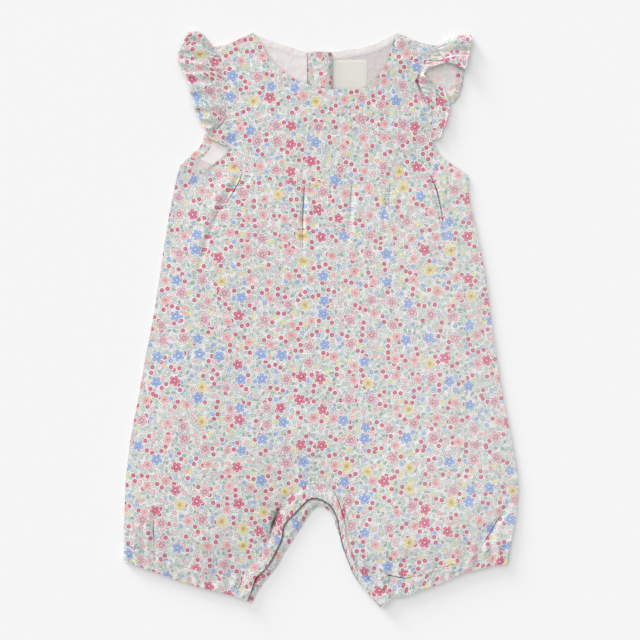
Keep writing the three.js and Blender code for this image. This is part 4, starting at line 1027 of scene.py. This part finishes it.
# %% Rows of the sleeves
SLEEVES = {  # seam x, seam y, hem x, hem y, bow, from the shoulder fold down
    ("left", "front"): [
        (-84, 213, -103.5, 222.5, 4.5), (-82.3, 209, -107, 216, 2), (-80, 204, -110, 208, 0.5),
        (-78, 198, -110, 200, 0), (-77, 192, -105.5, 191.5, 0), (-76.5, 185, -102, 184, 0),
        (-75.5, 176, -100.5, 175.5, 0), (-74.6, 166, -98, 166, 0), (-76.2, 157, -94.5, 157.5, 0),
        (-81.5, 150.5, -89.5, 148.5, 0)],
    ("left", "back"): [
        (-84, 213, -103.5, 222.5, 4.5), (-80, 204.5, -107.5, 207, 0), (-77.5, 196, -107, 197.5, 0),
        (-76.5, 186.5, -101, 187, 0), (-75.5, 176, -97, 176, 0), (-76.2, 166, -94, 166.5, 0),
        (-81, 158, -91, 158.5, 0)],
    ("right", "front"): [
        (92.5, 213.5, 118, 219.5, 3), (89.5, 210.5, 117.5, 214, 1), (86.5, 206.5, 116.5, 208.5, 0),
        (84.5, 204, 115, 202.5, 0), (83.5, 202, 112.5, 195.5, 3), (82.5, 200.5, 105, 202, 0),
        (81, 198, 94.5, 199.5, 0), (79.5, 194.5, 85, 196, 0), (78.6, 191, 81.5, 191, 0),
        (77.7, 186.5, 86.5, 186.5, 0), (78.3, 182, 96, 181.5, 0), (80.5, 177, 99, 175.5, 0),
        (84.3, 171, 101, 169.5, 0), (87.8, 165, 101, 163.5, 0), (88.2, 157, 98.8, 155, 0),
        (88, 148.5, 95.5, 147, 0), (88, 141, 92.5, 140.5, 0)],
    ("right", "back"): [
        (92.5, 213.5, 118, 219.5, 3), (87, 207, 115, 208.5, 0), (82, 200, 113, 198.5, 0),
        (78.7, 192, 111.5, 191, 0), (77.8, 184.5, 110.5, 184.5, 0), (80.2, 177.5, 108.5, 177, 0),
        (84.5, 171, 104, 169.5, 0), (88, 164, 100.5, 162.5, 0), (88, 155, 99, 153.5, 0)]}
SLEEVE_ROWS, CUFF_ROWS = (170, 10, 90), (130, 10, 50)  # of the front half, the fold, the back half
print("rows of the sleeves", {" ".join(key): len(rows) for key, rows in SLEEVES.items()})


# %% Folded sheets
def folded(front, back, across, counts, cut):
    """A sheet folded over: layers take u across and the share s from the fold."""
    fronts, turns, backs = counts
    rows = fronts + turns + backs

    def place(u, v):
        row = np.rint(v * rows)
        zero = np.zeros(len(u))
        upper = front(u, np.clip(1 - row / fronts, 0, 1))
        lower = back(u, np.clip((row - fronts - turns) / backs, 0, 1))
        edge, next_edge = front(u, zero), front(u, zero + 0.02)
        beneath = back(u, zero)
        way = edge - next_edge
        way[:, 2] = 0
        way /= np.linalg.norm(way, axis=1, keepdims=True) + 1e-9
        radius = (edge[:, 2] - beneath[:, 2])[:, None] / 2
        angle = (math.pi * (0.5 - np.clip(row - fronts, 0, turns) / turns))[:, None]
        bend = (edge + beneath) / 2 + way * radius * np.cos(angle)
        bend[:, 2] = ((edge[:, 2] + beneath[:, 2]) / 2 + (radius * np.sin(angle))[:, 0])
        inside = ((row > fronts) & (row < fronts + turns))[:, None]
        points = np.where(inside, bend, np.where((row <= fronts)[:, None], upper, lower))
        return points, cut(u, v, points)
    return grid(across, rows, place)


def sleeve_layer(table, level, armhole=None, outwards=0, curl=None):
    """A layer between seam and hem. A front layer's seam keeps to the armhole, and a curled layer
    turns up along its hem, where its printed side shows."""
    rows = smooth_points(table)

    def at(u, s):
        k = s * (len(rows) - 1)
        numbers = np.arange(len(rows))
        seam_x, seam_y, hem_x, hem_y, bow = (np.interp(k, numbers, column) for column in rows.T)
        seam, hem = np.column_stack([seam_x, seam_y]), np.column_stack([hem_x, hem_y])
        if armhole:
            seam = armhole.offset(outwards * 0.12)(nearest(seam, armhole)[1])
        width = np.linalg.norm(hem - seam, axis=1)
        away = (hem - seam) / (width[:, None] + 1e-6)
        inset = width * (1 - u)
        lift = 0 * u
        if curl:
            how = ease(s / 0.15) * ease((0.85 - s) / 0.15)
            over = (u - 0.74) / 0.26
            turn = np.clip(over / 0.25, 0, 1) * math.pi
            curled = np.where(over < 0, width * (1 - u / 0.74), curl * np.clip((over - 0.25) / 0.75, 0, 1))
            inset = (1 - how) * inset + how * (curled - 0.5 * np.sin(turn) * (over > 0))
            lift = how * np.where(over > 0, 0.5 * (1 - np.cos(turn)), 0)
        inset = inset + 0.5 * u**3 * np.sin(TAU * 11 * s + 2 * np.sin(7 * s)) * ease(s * 8)
        flat_points = hem - away * inset[:, None]
        flat_points[:, 1] += bow * 4 * u * (1 - u)
        return stacked(flat_points, level(u, s) + lift)
    return at


shoulder = sleeve_layer(SLEEVES["left", "front"], lambda u, s: SECOND)(np.ones(1), np.zeros(1))
print("left sleeve at the shoulder", shoulder.round(1))


# %% Sleeves
for side in SIDE_NAMES:
    left = side == "left"
    turns = 7 if left else 6
    cut_start = (1300, 0 if left else 60)

    def front_height(u, s):
        wave = np.sin(TAU * (turns * s + 0.12 * np.sin(TAU * 2.3 * s)))
        frill = np.sin(TAU * 15 * s + 3 * np.sin(6 * s))
        gather = np.sin(TAU * 17 * s + 2 * np.sin(9 * s)) * np.exp(-(((u - 0.12) / 0.16) ** 2))
        low = 0 if left else ease((s - 0.6) / 0.12)
        swell = 2.3 - 1.3 * low
        stir = 0.75 if left else 1 - 0.6 * low
        waves = 1.1 * u * wave + 0.3 * u**2 * frill + 0.35 * gather * ease(u * 8)
        return SECOND + swell * ease(u * 1.5) + stir * waves + 0.3 * ease((u - 0.9) / 0.08)

    def back_height(u, s):
        return BACK + 0.25 * u * (1 - np.cos(TAU * 7 * s))

    def sleeve_cut(u, v, points):
        """The real lengths: down the middle from the fold, and across from the hem."""
        net = points.reshape(sum(SLEEVE_ROWS) + 1, -1, 3)
        reach = np.linalg.norm(np.diff(net, axis=1, prepend=net[:, :1]), axis=2).cumsum(1)
        middle = net[:, net.shape[1] // 2]
        down = np.linalg.norm(np.diff(middle, axis=0, prepend=middle[:1]), axis=1).cumsum()
        down = np.repeat(down - down[SLEEVE_ROWS[0]], net.shape[1])
        return np.column_stack([down, (reach[:, -1:] - reach).ravel()]) + cut_start

    def rolled_hem_and_shade(points, cut):
        """Pale along the rolled hem of the front layer, and a little painted shade elsewhere."""
        pale = (0.4 if left else 0.2) * ease(1.9 - cut[:, 1] + cut_start[1])
        pale = pale * (cut[:, 0] < cut_start[0])
        return (0.04 if left else 0.07) * (pale == 0) - pale

    armhole = line[side + "_armhole"]
    layers = (sleeve_layer(SLEEVES[side, "front"], front_height, armhole, 1 if left else -1),
              sleeve_layer(SLEEVES[side, "back"], back_height, curl=None if left else 4.5))
    sleeve_grid = folded(*layers, 32, SLEEVE_ROWS, sleeve_cut)
    make_cloth(f"sleeve_{side}", [sleeve_grid], (prints["sleeves"], wrong_sheer),
               painted_shade_and_pale=rolled_hem_and_shade)


# %% [markdown]
# ## Cuffs
# A cuff is a narrow band over elastic. At its seam it is as high as the leg above it, then it is
# even. It is folded over at the side seam, so its cut is measured from that fold.

# %% Cuffs
def cuff_layer(side, kind, level):
    seam, hem = cuff_seams[side, kind], hems[side, kind]
    inner = 0.4 if side == "left" else -0.4

    def at(u, s):
        points = seam(s) * (1 - u[:, None]) + hem(s) * u[:, None]
        points[:, 0] += inner * (3 * (1 - s) - 0.5)
        return stacked(points, level(points, u))
    return at


def cuff_height(points, u):
    """As high as the leg above it at the seam, then even."""
    level, drawn, to_cuff = front_level(points)
    above = np.maximum(level + pucker(points, to_cuff), SECOND)
    wave = 0.35 * np.sin(points[:, 0] * 0.7 + 2 * np.sin(points[:, 0] / 8))
    return above + (CUFF + wave - above) * ease(u * 1.3)


for side in SIDE_NAMES:
    fold_x = cuff_seams[side, "front"](0)[0], hems[side, "front"](0)[0]

    def cuff_cut(u, v, points):
        """The cut runs from the fold at the side seam, so the print isn't sheared."""
        along = 1.05 * np.abs(points[:, 0] - fold_x[0] * (1 - u) - fold_x[1] * u)
        on_front = v < (CUFF_ROWS[0] + CUFF_ROWS[1] / 2) / sum(CUFF_ROWS)
        cut_start = (1400, 120 if side == "left" else 150)
        return np.column_stack([np.where(on_front, -along, along), CUFF_CUT * u]) + cut_start

    layers = (cuff_layer(side, "front", cuff_height), cuff_layer(side, "back", lambda points, u: BACK))
    cuff_grid = folded(*layers, 12, CUFF_ROWS, cuff_cut)
    # The cuffs have a little painted shade all over.
    make_cloth(f"cuff_{side}", [cuff_grid], (prints["cuffs"], wrong),
               painted_shade_and_pale=0.07)


# %% [markdown]
# ## Floor, light and camera
# The romper is seen from straight above in soft light from the upper left. Three suns of
# different widths give a short and a long shadow on a pale floor, and an even sky fills them.
# One area light could do it, but its light would fade across the cloth. The lens is long and
# far away, as for a picture of a table top, so nothing leans outwards.

# %% Floor and light
SUNS = [  # name, share of the light, slant, width in the sky
    ("high", 0.30, 0.15, 1.5), ("key", 0.13, 1.0, 0.9), ("low", 0.13, 1.38, 0.35)]
SKY = 0.435
bpy.ops.mesh.primitive_plane_add(size=6, location=(0, 0, -0.0002))
floor = bpy.context.object
floor.name = "floor"
floor.data.materials.append(new_material("floor", colour("f6f6f6"), 0.9))

for name, share, slant, width in SUNS:
    sun = bpy.data.lights.new(name, "SUN")
    sun.energy, sun.angle = share / math.cos(slant) * math.pi, width
    lamp = bpy.data.objects.new(name, sun)
    way = Vector((0.6 * math.sin(slant), -0.8 * math.sin(slant), -math.cos(slant)))
    lamp.rotation_euler = way.to_track_quat("-Z", "Y").to_euler()
    scene.collection.objects.link(lamp)
world = bpy.data.worlds.new("room")
scene.world = world
world.use_nodes = True
background = world.node_tree.nodes["Background"].inputs
background["Color"].default_value = (1, 1, 1, 1)
background["Strength"].default_value = SKY
print("suns", [name for name, *_ in SUNS], "sky", SKY)


# %% Camera
LENS, SENSOR = 85, 36
PICTURE_WIDTH, CAMERA_BASE = 0.4992, 0.003  # metres
lens = bpy.data.cameras.new("camera")
lens.lens, lens.sensor_width = LENS, SENSOR
camera = bpy.data.objects.new("camera", lens)
camera.location = (SHIFT[0] * MM, SHIFT[1] * MM, CAMERA_BASE + PICTURE_WIDTH * LENS / SENSOR)
scene.collection.objects.link(camera)
scene.camera = camera
scene.view_settings.view_transform = "Standard"
print("camera", [round(v, 3) for v in camera.location], "m")
